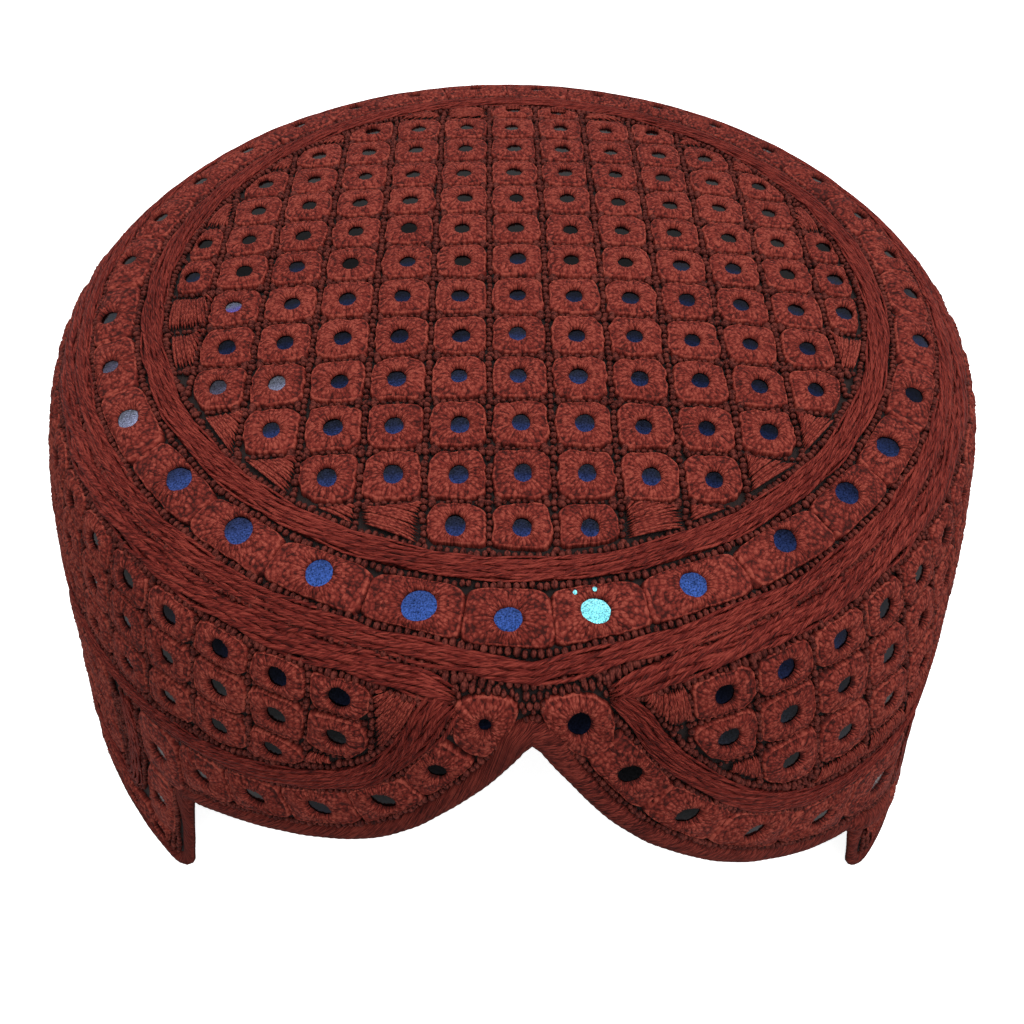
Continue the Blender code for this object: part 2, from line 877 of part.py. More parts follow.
hem = hem_line()
crown_panel(ground_cloth)
crown_mirror_field(thread)
crown_ring("crown_inner_band", inner_band_radius, band_width, 0.0002, 34, bright_thread)
crown_mirror_ring(thread)
crown_ring("crown_edge_band", crown_edge_radius - 0.0004, narrow_band_width, 0.0004, 34, bright_thread)
side_panel(hem, ground_cloth)
ribbon("side_upper_band", upper_band_line(), band_section(narrow_band_width, 0.0), on_side, bright_thread)
ribbon("side_lower_band", lower_band_line(), band_section(band_width, 0.0002), on_side, bright_thread)
side_mirror_field(thread)
front_edge_mirrors("front_edge_mirrors_right", hem, 1, thread)
front_edge_mirrors("front_edge_mirrors_left", hem, -1, thread)
back_band(bright_thread)
back_edge_mirrors(thread)
back_mirror_field(thread)
hem_binding(hem, dark_thread)

# Put the middle of the whole cap on the origin
corners = [v.co for o in bpy.data.objects for v in o.data.vertices]
middle_x = (min(c.x for c in corners) + max(c.x for c in corners)) / 2
middle_y = (min(c.y for c in corners) + max(c.y for c in corners)) / 2
for part in bpy.data.objects:
    part.location = (-middle_x, -middle_y, 0.0)
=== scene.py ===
import math

import bpy
import numpy as np
from mathutils import Matrix, Vector


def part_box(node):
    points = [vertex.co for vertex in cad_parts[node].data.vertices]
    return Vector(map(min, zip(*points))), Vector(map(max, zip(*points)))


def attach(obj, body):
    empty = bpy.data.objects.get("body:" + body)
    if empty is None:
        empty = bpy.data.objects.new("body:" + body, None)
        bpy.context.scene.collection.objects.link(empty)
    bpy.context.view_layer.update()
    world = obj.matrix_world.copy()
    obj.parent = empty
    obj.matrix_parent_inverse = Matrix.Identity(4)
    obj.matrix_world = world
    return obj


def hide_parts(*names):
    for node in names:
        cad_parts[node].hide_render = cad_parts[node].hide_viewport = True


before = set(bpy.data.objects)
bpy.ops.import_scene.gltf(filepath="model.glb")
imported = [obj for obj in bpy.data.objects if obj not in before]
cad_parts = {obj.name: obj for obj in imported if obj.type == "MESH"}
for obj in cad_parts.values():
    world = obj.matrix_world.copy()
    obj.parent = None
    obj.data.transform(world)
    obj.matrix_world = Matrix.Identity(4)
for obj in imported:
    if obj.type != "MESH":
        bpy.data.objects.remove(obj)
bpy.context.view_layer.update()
random = np.random.default_rng(27)
bandLow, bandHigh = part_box("crown_inner_band")
axis = (bandLow + bandHigh) / 2   # the round band lies round the cap's own axis
print("frame loaded:", len(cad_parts), "nodes")


# Camera, at the photo's place
cameraSetup = {
    "place": (-0.00509, -0.16501, 0.21856),   # from the cap's axis, at the floor
    "lens": 39.4,
    "sensor": 36.0,
    "down": 0.8632,   # radians below level
    "yaw": 0.032,
    "roll": 0.025,
}


def addCamera(setup):
    down = setup["down"]
    yaw = setup["yaw"]
    ahead = Vector((math.sin(yaw) * math.cos(down), math.cos(yaw) * math.cos(down), -math.sin(down)))
    right = Vector((math.cos(yaw), -math.sin(yaw), 0.0))
    up = right.cross(ahead)
    c = math.cos(setup["roll"])
    s = math.sin(setup["roll"])
    turn = Matrix((right * c + up * s, up * c - right * s, -ahead)).transposed()
    bpy.ops.object.camera_add()
    camera = bpy.context.object
    camera.name = "photoCamera"
    place = Vector(setup["place"]) + Vector((axis.x, axis.y, 0.0))
    camera.matrix_world = Matrix.Translation(place) @ turn.to_4x4()
    camera.data.lens = setup["lens"]
    camera.data.sensor_width = setup["sensor"]
    camera.data.clip_start = 0.01
    bpy.context.scene.camera = camera


addCamera(cameraSetup)


# Form of the cap, in metres. Depth is measured down from the apex.
# Azimuth is measured round from the front and is positive on the right.
capForm = {
    "apex": 0.0945,
    "frontTurn": 0.8,
    "chartRadius": 0.092,
    # The right lobe's bulge and the tuck behind it: where they come and go over azimuth and depth
    "swells": [
        {"size": 0.0028, "comes": (-5, 23), "goes": (44, 80), "down": (0.012, 0.046)},
        {"size": -0.0038, "comes": (41, 66), "goes": (110, 160), "down": (0.012, 0.060)},
    ],
    "crownSection": [   # radius, depth
        (0.0000, 0.0000), (0.0200, 0.0005), (0.0400, 0.0020), (0.0620, 0.0046),
        (0.0727, 0.0061), (0.0784, 0.0087), (0.0842, 0.0140),
    ],
    "sideSection": [    # depth, radius
        (0.0087, 0.0784), (0.0140, 0.0842), (0.0220, 0.0872), (0.0350, 0.0903),
        (0.0500, 0.0927), (0.0650, 0.0947), (0.0800, 0.0967), (0.0950, 0.0990),
    ],
}


def smoothCurve(points):
    xs, ys = np.array(points, float).T
    slopes = np.diff(ys) / np.diff(xs)
    tangents = np.concatenate([slopes[:1], np.zeros(len(xs) - 2), slopes[-1:]])
    before = slopes[:-1]
    after = slopes[1:]
    same = before * after > 0
    tangents[1:-1][same] = 2 * before[same] * after[same] / (before[same] + after[same])

    def read(x):
        x = np.clip(np.asarray(x, float), xs[0], xs[-1])
        i = np.clip(np.searchsorted(xs, x) - 1, 0, len(xs) - 2)
        width = xs[i + 1] - xs[i]
        t = (x - xs[i]) / width
        start = (1 + 2 * t) * (1 - t) ** 2 * ys[i] + t * (1 - t) ** 2 * width * tangents[i]
        end = t * t * (3 - 2 * t) * ys[i + 1] - t * t * (1 - t) * width * tangents[i + 1]
        return start + end

    return read


crownDepth = smoothCurve(capForm["crownSection"])
sideRadius = smoothCurve(capForm["sideSection"])


def ease(x, start, end):
    t = np.clip((x - start) / (end - start), 0, 1)
    return t * t * (3 - 2 * t)


def signed(azimuth):
    return (azimuth + 180) % 360 - 180


def bulgedRadius(azimuth, depth):
    side = signed(azimuth)
    radius = sideRadius(depth)
    for swell in capForm["swells"]:
        over = swell["size"] * ease(side, *swell["comes"]) * (1 - ease(side, *swell["goes"]))
        radius = radius + over * ease(depth, *swell["down"])
    return radius


def crownPlace(x, y, lift):
    radius = np.hypot(x, y)
    step = 0.0005
    low = np.maximum(radius - step, 0)
    slope = (crownDepth(radius + step) - crownDepth(low)) / (radius + step - low)
    length = np.hypot(1, slope)
    outward = np.maximum(radius, 1e-9)
    spread = (radius + lift * slope / length) / outward
    z = capForm["apex"] - crownDepth(radius) + lift / length
    return np.stack([x * spread + axis.x, y * spread + axis.y, z], axis=-1)


def sidePlace(u, v, lift):
    azimuth = np.degrees(u / capForm["chartRadius"])
    step = 0.0005
    slope = (bulgedRadius(azimuth, v + step) - bulgedRadius(azimuth, v - step)) / (2 * step)
    length = np.hypot(1, slope)
    radius = bulgedRadius(azimuth, v) + lift / length
    turned = np.radians(azimuth + capForm["frontTurn"])
    z = capForm["apex"] - v + lift * slope / length
    return np.stack([radius * np.sin(turned) + axis.x, axis.y - radius * np.cos(turned), z], axis=-1)


def circlePlace(around):
    def place(u, v, lift):
        turned = u / around
        return crownPlace(v * np.sin(turned), -v * np.cos(turned), lift)
    return place


def alongSide(azimuth):
    return np.radians(azimuth) * capForm["chartRadius"]


fullTurn = alongSide(360.0)


# Layout. The crown and the hem are laid out as the solids are. The side's bands and rows follow the solids'
# to within 3 mm, and were moved to where the photo shows them.
crownLayout = {
    "pitch": 0.010,
    "shift": 0.0017,
    "fieldRadius": 0.0624,
    "leastShare": 0.12,     # cells with less than this share of a square are left out
    "innerBandRadius": 0.0653,
    "edgeRadius": 0.0780,
    "frontDip": 0.0021,     # the crown's edge comes down towards the cusp
    "frontDipReach": 20.0,
    "columns": [    # grid column, first and last row with a mirror
        (-6, 6, 7), (-5, 3, 9), (-4, 2, 10), (-3, 1, 11), (-2, 1, 11), (-1, 0, 11), (0, 0, 12),
        (1, 0, 12), (2, 1, 11), (3, 1, 11), (4, 2, 10), (5, 3, 9), (6, 5, 7),
    ],
    "ringFront": [    # azimuth, radius, mirror radius, painted reflection
        (-98.0, 0.0735, 0.0017, "dark"), (-85.0, 0.0735, 0.0018, "steel"), (-74.5, 0.0730, 0.0018, "lilac"),
        (-63.4, 0.0724, 0.0020, "pale"), (-49.6, 0.0711, 0.0023, "ring"), (-37.6, 0.0714, 0.0023, "ring"),
        (-25.4, 0.0718, 0.0021, "blue"), (-12.8, 0.0726, 0.0026, "blue"), (-2.6, 0.0733, 0.0021, "blue"),
        (7.4, 0.0726, 0.0021, "flash"), (19.4, 0.0718, 0.0021, "blue"), (33.0, 0.0713, 0.0021, "ring"),
        (45.0, 0.0712, 0.0022, "ring"), (55.8, 0.0717, 0.0023, "ring"), (67.2, 0.0725, 0.0018, "deep"),
        (79.0, 0.0732, 0.0018, "navy"), (89.6, 0.0736, 0.0017, "deep"), (98.9, 0.0736, 0.0016, "dark"),
        (109.0, 0.0736, 0.0016, "dark"), (120.0, 0.0736, 0.0016, "dark"),
    ],
    "paintedGlintChips": [(5.2, 0.0698), (7.6, 0.0696)],   # tiny glass chips between the stitches, coloured as painted glints. Azimuth, radius
    "ringBack": 12,   # more cells, evenly round the back
}
sideLayout = {
    "hemFront": [       # degrees from the front, depth on the left, depth on the right
        (0.0, 0.0202, 0.0202), (3.3, 0.0273, 0.0273), (7.0, 0.0338, 0.0355), (11.0, 0.0405, 0.0425),
        (15.0, 0.0456, 0.0482), (20.0, 0.0498, 0.0546), (25.0, 0.0530, 0.0600), (31.0, 0.0570, 0.0656),
        (38.6, 0.0627, 0.0715),
    ],
    "lowerBand": [      # the same columns
        (7.6, 0.0126, 0.0126), (8.8, 0.0142, 0.0140), (10.0, 0.0165, 0.0160), (12.0, 0.0220, 0.0208),
        (15.0, 0.0280, 0.0272), (19.0, 0.0322, 0.0340), (25.0, 0.0362, 0.0413), (31.0, 0.0391, 0.0464),
        (38.0, 0.0414, 0.0492), (42.0, 0.0422, 0.0499), (48.0, 0.0431, 0.0502), (58.0, 0.0442, 0.0478),
        (70.0, 0.0442, 0.0446), (85.0, 0.0440, 0.0440), (180.0, 0.0440, 0.0440),
    ],
    "notchAzimuth": 40.0,
    "edgeLean": 70.0,
    "notchRound": 0.0012,
    "cornerRound": 0.0056,
    "bandCornerRound": 0.0050,
    "upperBand": [(7.0, 0.0129), (10.0, 0.0121), (14.0, 0.0113), (18.0, 0.0110), (180.0, 0.0110)],
    "rows": [0.0126, 0.0199, 0.0288, 0.0392, 0.0500],
    # How much lower the rows lie on the left lobe, and beyond the lobes on the left and on the right
    "rowShifts": {
        "lobe": [0.0, -0.0007, -0.0013, -0.0026, -0.0026],
        "left": [0.0, 0.0006, 0.0014, 0.0016, 0.0010],
        "right": [0.0004, 0.0018, 0.0025, 0.0022, 0.0010],
    },
    "leftTip": [(0.0166, 0.0123), (0.0250, 0.0125), (0.0250, 0.0246), (0.0216, 0.0204), (0.0186, 0.0154)],
    "frontColumns": [(19.5, 19.6), (25.6, 26.5), (32.8, 33.8), (40.0, 41.2)],   # degrees, left and right
    "tipAzimuth": 10.4,
    "leastShare": 0.10,     # cells with less than this share of their square are left out
    "mirrorShare": 0.42,    # and cells with less than this share have no mirror
    "plainFrom": 100,       # degrees from the front, where the pads grow plainer
    "firstColumn": 19.2,
    "columns": 47,
    "backColumns": 32,
    "backRows": 3,
    "backEdgeColumns": 33,
    "edgeCells": [      # where each front cell ends along the hem, on the left and on the right
        (0.0080, 0.0079), (0.0160, 0.0165), (0.0263, 0.0279), (0.0390, 0.0417), (0.0510, 0.0574),
        (0.0636, 0.0756),
    ],
    "firstCells": {   # outline of the cell beside the cusp, on the left and on the right
        -1: [(0.0019, 0.0124), (0.0022, 0.0162), (0.0037, 0.0188), (0.0073, 0.0232), (0.0123, 0.0206),
             (0.0129, 0.0136), (0.0100, 0.0118), (0.0051, 0.0117)],
        1: [(0.0010, 0.0123), (0.0012, 0.0166), (0.0039, 0.0196), (0.0074, 0.0230), (0.0122, 0.0232),
            (0.0135, 0.0190), (0.0126, 0.0138), (0.0092, 0.0118)],
    },
    "firstMirrors": {-1: (0.0074, 0.0163), 1: (0.0073, 0.0164)},
    "runOn": [          # the right lobe's hem, which runs on over the side piece
        (0.0560, 0.0684), (0.0609, 0.0710), (0.0644, 0.0732), (0.0682, 0.0757), (0.0715, 0.0776),
        (0.0758, 0.0803), (0.0803, 0.0832),
    ],
    "bindingWidth": 0.0040,
    "sideBindingWidth": 0.0027,
    "edgeCellWidth": 0.0066,
    "edgeCellGap": 0.0009,
    "band": 0.0040,
    "beadGap": 0.0014,
}
hemDepth = capForm["apex"]


def sidedCurve(table):
    left = smoothCurve([(row[0], row[1]) for row in table])
    right = smoothCurve([(row[0], row[2]) for row in table])

    def read(azimuth):
        side = signed(azimuth)
        return np.where(side > 0, right(np.abs(side)), left(np.abs(side)))
    return read


hemCurve = sidedCurve(sideLayout["hemFront"])
lowerBandCurve = sidedCurve(sideLayout["lowerBand"])


def rowDepth(azimuth, row):
    shifts = sideLayout["rowShifts"]
    side = signed(azimuth)
    near = 1 - ease(np.abs(side), 60, 90)
    if side < 0:
        shift = shifts["lobe"][row] * (1 - ease(-side, 30, 48))
        shift = shift + shifts["left"][row] * ease(-side, 34, 48) * near
    else:
        shift = shifts["right"][row] * ease(side, 30, 44) * near
    return float(sideLayout["rows"][row] + shift)


def notchDepth(side):
    return sideLayout["hemFront"][-1][2 if side > 0 else 1]


def sideEdge(side, depth):
    lean = max(depth - notchDepth(side), 0.0) * sideLayout["edgeLean"]
    return float(alongSide(sideLayout["notchAzimuth"] + lean))


def fillet(before, corner, after, radius, steps):
    corner = Vector(corner)
    a = (Vector(before) - corner).normalized()
    b = (Vector(after) - corner).normalized()
    half = a.angle(b) / 2
    centre = corner + (a + b).normalized() * (radius / math.sin(half))
    start = corner + a * (radius / math.tan(half)) - centre
    end = corner + b * (radius / math.tan(half)) - centre
    whole = math.atan2(start.x * end.y - start.y * end.x, start.dot(end))
    turns = [whole * k / steps for k in range(steps + 1)]
    return [(centre.x + start.x * math.cos(t) - start.y * math.sin(t),
             centre.y + start.x * math.sin(t) + start.y * math.cos(t)) for t in turns]


def halfHem(side):
    line = [(float(alongSide(a)), float(hemCurve(side * a))) for a in np.linspace(0.5, 36.0, 60)]
    notch = (float(alongSide(sideLayout["notchAzimuth"])), notchDepth(side) + 0.0010)
    corner = (sideEdge(side, hemDepth), hemDepth)
    line += fillet(line[-1], notch, corner, sideLayout["notchRound"], 5)
    line += fillet(notch, corner, (corner[0] + 0.05, hemDepth), sideLayout["cornerRound"], 8)
    return [(side * u, v) for u, v in line]


def hemOutline():
    left = [(fullTurn + u, v) for u, v in reversed(halfHem(-1))]
    cusp = float(hemCurve(0.0)) + 0.0004
    return np.array([(0.0, cusp)] + halfHem(1) + left + [(fullTurn, cusp)])


def lengthsOf(line):
    return np.concatenate([[0], np.cumsum(np.hypot(*np.diff(line, axis=0).T))])


def evenly(line, step):
    lengths = lengthsOf(line)
    count = max(2, round(lengths[-1] / step))
    marks = np.linspace(0, lengths[-1], count + 1)
    return np.column_stack([np.interp(marks, lengths, line[:, k]) for k in (0, 1)])


def normalsOf(line, loop=False):
    run = np.gradient(line, axis=0)
    if loop:   # a line whose last point is its first, a full turn on
        joined = line[1] - line[0] + line[-1] - line[-2]
        run[0] = joined / 2
        run[-1] = joined / 2
    run /= np.hypot(run[:, 0], run[:, 1])[:, None]
    return np.column_stack([run[:, 1], -run[:, 0]])   # towards the crown for a line that runs to the right


def moved(line, distance, loop=False):
    return line + normalsOf(line, loop) * distance


def frontDip(azimuth):
    near = np.clip(1 - np.abs(signed(azimuth)) / crownLayout["frontDipReach"], 0, 1)
    return crownLayout["frontDip"] * near ** 1.5


def circleLine(radius, step, dip=0.0):
    # dip is how much of the front's dip this line follows
    count = round(2 * math.pi * radius / step)
    u = np.linspace(-math.pi * radius, math.pi * radius, count + 1)   # closes at the back
    return np.column_stack([u, radius + dip * frontDip(np.degrees(u / radius) - capForm["frontTurn"])])


hem = evenly(hemOutline(), 0.0008)
bandAzimuths = np.concatenate([np.linspace(7.8, 70, 90), np.linspace(70.5, 289.5, 120),
                               np.linspace(290, 352.2, 90)])
lowerBandLine = evenly(np.column_stack([alongSide(bandAzimuths), lowerBandCurve(bandAzimuths)]), 0.0020)
upperBandCurve = smoothCurve(sideLayout["upperBand"])
upperBandLine = np.array([(float(alongSide(a)), float(upperBandCurve(abs(signed(a)))))
                          for a in np.linspace(7.4, 352.6, 240)])


# Modelling helpers
def threadMap(across, along):
    # where each point lies on its thread, which the thread materials read
    return np.column_stack([across, along, np.zeros(len(along))])


def setAll(thing, **values):
    for key, value in values.items():
        setattr(thing, key, value)
    return thing


def deselectAll():
    if bpy.context.object and bpy.context.object.mode != "OBJECT":
        bpy.ops.object.mode_set(mode="OBJECT")
    bpy.ops.object.select_all(action="DESELECT")


def editAll():
    bpy.ops.object.mode_set(mode="EDIT")
    bpy.ops.mesh.select_all(action="SELECT")


def startPattern(primitive, **values):
    deselectAll()
    primitive(**values)
    bpy.ops.object.transform_apply()
    editAll()


def takePattern():
    # a pattern is the modelled piece's points and faces, and its copies are laid on the cap
    bpy.ops.object.mode_set(mode="OBJECT")
    mesh = bpy.context.object.data
    points = np.array([v.co for v in mesh.vertices])
    faces = [list(p.vertices) for p in mesh.polygons]
    bpy.data.objects.remove(bpy.context.object)
    return {"points": points, "faces": faces}


def modelPad(shape):
    # rings run from the foot of the pad in to its mirror. Every second spoke is a groove between two stitches
    spokes = shape["spokes"]
    rings = shape["rings"]
    startPattern(bpy.ops.mesh.primitive_circle_add, vertices=spokes, radius=rings[0][0],
                 location=(0, 0, rings[0][1]))
    for before, after in zip(rings, rings[1:]):
        bpy.ops.mesh.extrude_region_move(TRANSFORM_OT_translate={"value": (0, 0, after[1] - before[1])})
        share = after[0] / before[0]
        bpy.ops.transform.resize(value=(share, share, 1))
    pattern = takePattern()
    x, y, z = pattern["points"].T
    reach = np.hypot(x, y)
    angle = np.arctan2(y, x)
    spoke = np.round(angle / (2 * math.pi / spokes)).astype(int) % spokes
    groove = spoke % 2
    table = np.array(rings)
    ring = np.abs(reach[:, None] - table[:, 0]).argmin(axis=1)
    # the ring table's tones: painted shade in the grooves, at the foot and down the hole, painted light on
    # the rim
    drop, ridgeTone, grooveTone = table[ring, 2:].T
    pattern.update(spokes=spokes, angle=angle, spoke=spoke, reach=reach, height=z, drop=groove * drop,
                   tone=np.where(groove == 1, grooveTone, ridgeTone))
    return pattern


def modelBead(shape):
    startPattern(bpy.ops.mesh.primitive_uv_sphere_add, segments=shape["sides"], ring_count=4, radius=0.5)
    bpy.ops.mesh.bisect(plane_co=(0, 0, shape["cut"]), plane_no=(0, 0, 1), clear_inner=True)
    return takePattern()


def modelStrand(sides, rings):
    # a tube along X, one unit from ring to ring
    startPattern(bpy.ops.mesh.primitive_circle_add, vertices=sides, radius=1.0, rotation=(0, math.pi / 2, 0))
    bpy.ops.mesh.extrude_region_move(TRANSFORM_OT_translate={"value": (1, 0, 0)})
    bpy.ops.object.mode_set(mode="OBJECT")
    setAll(bpy.context.object.modifiers.new("run", "ARRAY"), count=rings, use_relative_offset=False,
           use_constant_offset=True, constant_offset_displace=(1, 0, 0), use_merge_vertices=True,
           merge_threshold=0.0001)
    bpy.ops.object.modifier_apply(modifier="run")
    pattern = takePattern()
    x, y, z = pattern["points"].T
    pattern.update(station=np.round(x).astype(int), around=np.arctan2(z, y))
    return pattern


def modelGlass(sides):
    startPattern(bpy.ops.mesh.primitive_circle_add, vertices=sides, radius=1.0, fill_type="TRIFAN")
    bpy.ops.mesh.normals_make_consistent(inside=False)
    return takePattern()


def modelSheet(columns, rows):
    startPattern(bpy.ops.mesh.primitive_grid_add, x_subdivisions=columns, y_subdivisions=rows, size=1.0,
                 location=(0.5, 0.5, 0))
    return takePattern()


class Heap:
    # collects laid copies, and turns them into one piece
    def __init__(self):
        self.points = []
        self.faces = []
        self.slots = []
        self.tones = []
        self.threads = []
        self.paintedReflections = []
        self.count = 0

    def add(self, points, faces, slot, tone, thread, paintedReflection=(0.0, 0.0, 0.0)):
        points = points.reshape(-1, 3)
        n = len(points)
        self.points.append(points)
        self.faces += [[i + self.count for i in face] for face in faces]
        self.slots += [slot] * len(faces)
        self.tones.append(np.broadcast_to(tone, (n,)))
        self.threads.append(np.broadcast_to(thread, (n, 3)))
        self.paintedReflections.append(np.broadcast_to(np.asarray(paintedReflection, float), (n, 3)))
        self.count += n


def finishPiece(name, heap, materials, replaced, merge=True):
    mesh = bpy.data.meshes.new(name)
    mesh.from_pydata(np.concatenate(heap.points).tolist(), [], heap.faces)
    for material in materials:
        mesh.materials.append(material)
    mesh.polygons.foreach_set("material_index", heap.slots)
    mesh.attributes.new("tone", "FLOAT", "POINT").data.foreach_set("value", np.concatenate(heap.tones))
    for key, values in (("thread", heap.threads), ("paintedReflection", heap.paintedReflections)):
        values = np.concatenate(values).ravel()
        mesh.attributes.new(key, "FLOAT_VECTOR", "POINT").data.foreach_set("vector", values)
    piece = bpy.data.objects.new(name, mesh)
    bpy.context.collection.objects.link(piece)
    deselectAll()
    piece.select_set(True)
    bpy.context.view_layer.objects.active = piece
    editAll()
    if merge:
        bpy.ops.mesh.remove_doubles(threshold=0.000001)
        bpy.ops.mesh.select_all(action="SELECT")
    bpy.ops.mesh.normals_make_consistent(inside=False)
    bpy.ops.object.mode_set(mode="OBJECT")
    bpy.ops.object.shade_smooth()
    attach(piece, "root")
    if replaced:
        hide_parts(replaced)
    print("made", name, "with", sum(len(p.vertices) - 2 for p in mesh.polygons), "triangles")


# Materials
def feed(tree, socket, value):
    if isinstance(value, bpy.types.NodeSocket):
        tree.links.new(value, socket)
    else:
        socket.default_value = value


def addNode(tree, kind, inputs=None, **settings):
    node = setAll(tree.nodes.new("ShaderNode" + kind), **settings)
    for key, value in (inputs or {}).items():
        feed(tree, node.inputs[key], value)
    return node


def mathNode(tree, operation, *values, clamp=False):
    return addNode(tree, "Math", dict(enumerate(values)), operation=operation, use_clamp=clamp).outputs[0]


def mixColour(tree, share, a, b):
    return addNode(tree, "Mix", {"Factor": share, "A": a, "B": b}, data_type="RGBA").outputs["Result"]


def newMaterial(name, surface):
    material = bpy.data.materials.new(name)
    material.use_nodes = True
    tree = material.node_tree
    shader = tree.nodes["Principled BSDF"]
    for key, value in surface.items():
        shader.inputs[key].default_value = value
    return material, tree, shader


def addBump(tree, shader, height, strength, distance):
    bump = addNode(tree, "Bump", {"Strength": strength, "Distance": distance, "Height": height})
    tree.links.new(bump.outputs["Normal"], shader.inputs["Normal"])


def makeFibreGroup():
    # short stitches with painted shade in the creases between them, fibres on each, and slow random changes
    # of tone over the cap
    group = bpy.data.node_groups.new("fibres", "ShaderNodeTree")
    for label, kind in (("Thread", "Vector"), ("Tone", "Float"), ("Stretch", "Vector"),
                        ("Dark", "Color"), ("Middle", "Color"), ("Light", "Color")):
        group.interface.new_socket(label, in_out="INPUT", socket_type="NodeSocket" + kind)
    for label, kind in (("Colour", "Color"), ("Height", "Float")):
        group.interface.new_socket(label, in_out="OUTPUT", socket_type="NodeSocket" + kind)
    given = group.nodes.new("NodeGroupInput").outputs
    leave = group.nodes.new("NodeGroupOutput")
    scaled = addNode(group, "VectorMath", {0: given["Thread"], 1: given["Stretch"]}, operation="MULTIPLY")
    scaled = scaled.outputs[0]
    stitches = addNode(group, "TexVoronoi", {"Scale": 1.0, "Vector": scaled}, voronoi_dimensions="2D").outputs
    fine = addNode(group, "TexNoise", {"Scale": 1.9, "Detail": 2.0, "Vector": scaled}).outputs["Fac"]
    place = addNode(group, "TexCoord").outputs["Object"]
    patches = addNode(group, "TexNoise", {"Scale": 60.0, "Detail": 3.0, "Vector": place}).outputs["Fac"]
    own = addNode(group, "SeparateColor", {0: stitches["Color"]}).outputs[0]
    toned = given["Tone"]
    # painted shade: the tone drops towards each stitch's edge, where its height drops too
    for effect, strength in ((own, 0.62), (stitches["Distance"], -0.75), (fine, 0.80), (patches, 0.50)):
        toned = mathNode(group, "MULTIPLY_ADD", effect, strength, toned)
    toned = mathNode(group, "SUBTRACT", toned, 0.62, clamp=True)
    low = mathNode(group, "MULTIPLY", toned, 2.0, clamp=True)
    high = mathNode(group, "MULTIPLY_ADD", toned, 2.0, -1.0, clamp=True)
    colour = mixColour(group, high, mixColour(group, low, given["Dark"], given["Middle"]), given["Light"])
    height = mathNode(group, "MULTIPLY_ADD", fine, 0.6, 1.0)
    feed(group, leave.inputs["Colour"], colour)
    feed(group, leave.inputs["Height"], mathNode(group, "SUBTRACT", height, stitches["Distance"]))
    return group


fibreGroup = makeFibreGroup()


def threadMaterial(name, look):
    surface = {"Roughness": look["roughness"], "Sheen Weight": look["sheen"], "Sheen Roughness": 0.45,
               "Sheen Tint": (*look["light"], 1), "Specular IOR Level": look["specular"]}
    material, tree, shader = newMaterial(name, surface)
    fibres = addNode(tree, "Group", node_tree=fibreGroup)
    thread = addNode(tree, "Attribute", attribute_name="thread")
    tone = addNode(tree, "Attribute", attribute_name="tone")
    feed(tree, fibres.inputs["Thread"], thread.outputs["Vector"])
    feed(tree, fibres.inputs["Tone"], tone.outputs["Fac"])
    fibres.inputs["Stretch"].default_value = look["stretch"]
    for key in ("dark", "middle", "light"):
        fibres.inputs[key.capitalize()].default_value = (*look[key], 1)
    addBump(tree, shader, fibres.outputs["Height"], look["bump"], 0.0003)
    tree.links.new(fibres.outputs["Colour"], shader.inputs["Base Color"])
    return material


rustLook = {
    "dark": (0.036, 0.0056, 0.0044),
    "middle": (0.148, 0.0175, 0.0120),
    "light": (0.285, 0.0560, 0.0370),
    "stretch": (2700, 1500, 1),   # stitches to a metre, across and along the thread
    "roughness": 0.75,
    "specular": 0.10,
    "sheen": 0.02,
    "bump": 0.8,
}
satinLook = dict(
    rustLook, dark=(0.028, 0.0042, 0.0036), middle=(0.119, 0.0125, 0.0092), light=(0.232, 0.0370, 0.0255),
    stretch=(4200, 450, 1), roughness=0.6, specular=0.07, sheen=0.0, bump=0.6)
knotLook = dict(
    rustLook, dark=(0.012, 0.0030, 0.0026), middle=(0.066, 0.0110, 0.0084), light=(0.145, 0.0300, 0.0215),
    stretch=(2400, 2400, 1), roughness=0.65, specular=0.08, sheen=0.0, bump=0.6)
bindingLook = dict(
    rustLook, dark=(0.020, 0.0030, 0.0026), middle=(0.108, 0.0140, 0.0100), light=(0.205, 0.0350, 0.0240),
    stretch=(2600, 900, 1), roughness=0.8, specular=0.08)
rustThread = threadMaterial("rustThread", rustLook)
satinThread = threadMaterial("satinThread", satinLook)
knotThread = threadMaterial("knotThread", knotLook)
bindingThread = threadMaterial("bindingThread", bindingLook)


def clothMaterial(name, look):
    material, tree, shader = newMaterial(name, {"Roughness": 0.95})
    place = addNode(tree, "TexCoord").outputs["Object"]
    weaves = [addNode(tree, "TexWave", {"Scale": look["weave"], "Distortion": 0.6, "Vector": place},
                      bands_direction=direction).outputs["Fac"] for direction in ("X", "Z")]
    height = mathNode(tree, "MULTIPLY", *weaves)
    noise = addNode(tree, "TexNoise", {"Scale": look["noise"], "Vector": place}).outputs["Fac"]
    share = mathNode(tree, "MULTIPLY", height, noise, clamp=True)
    ramp = addNode(tree, "ValToRGB", {"Fac": share})
    for element, key in zip(ramp.color_ramp.elements, ("dark", "light")):
        element.color = (*look[key], 1)
    tree.links.new(ramp.outputs["Color"], shader.inputs["Base Color"])
    addBump(tree, shader, height, 0.5, 0.0002)
    return material


# the ground cloth is near black: partly the base cloth's own colour, partly painted shade in the gaps between
# the stitches
groundClothAndShadeLook = {
    "dark": (0.0060, 0.0022, 0.0018),
    "light": (0.0220, 0.0060, 0.0045),
    "weave": 420.0,
    "noise": 300.0,
}
groundClothAndShade = clothMaterial("groundClothAndShade", groundClothAndShadeLook)


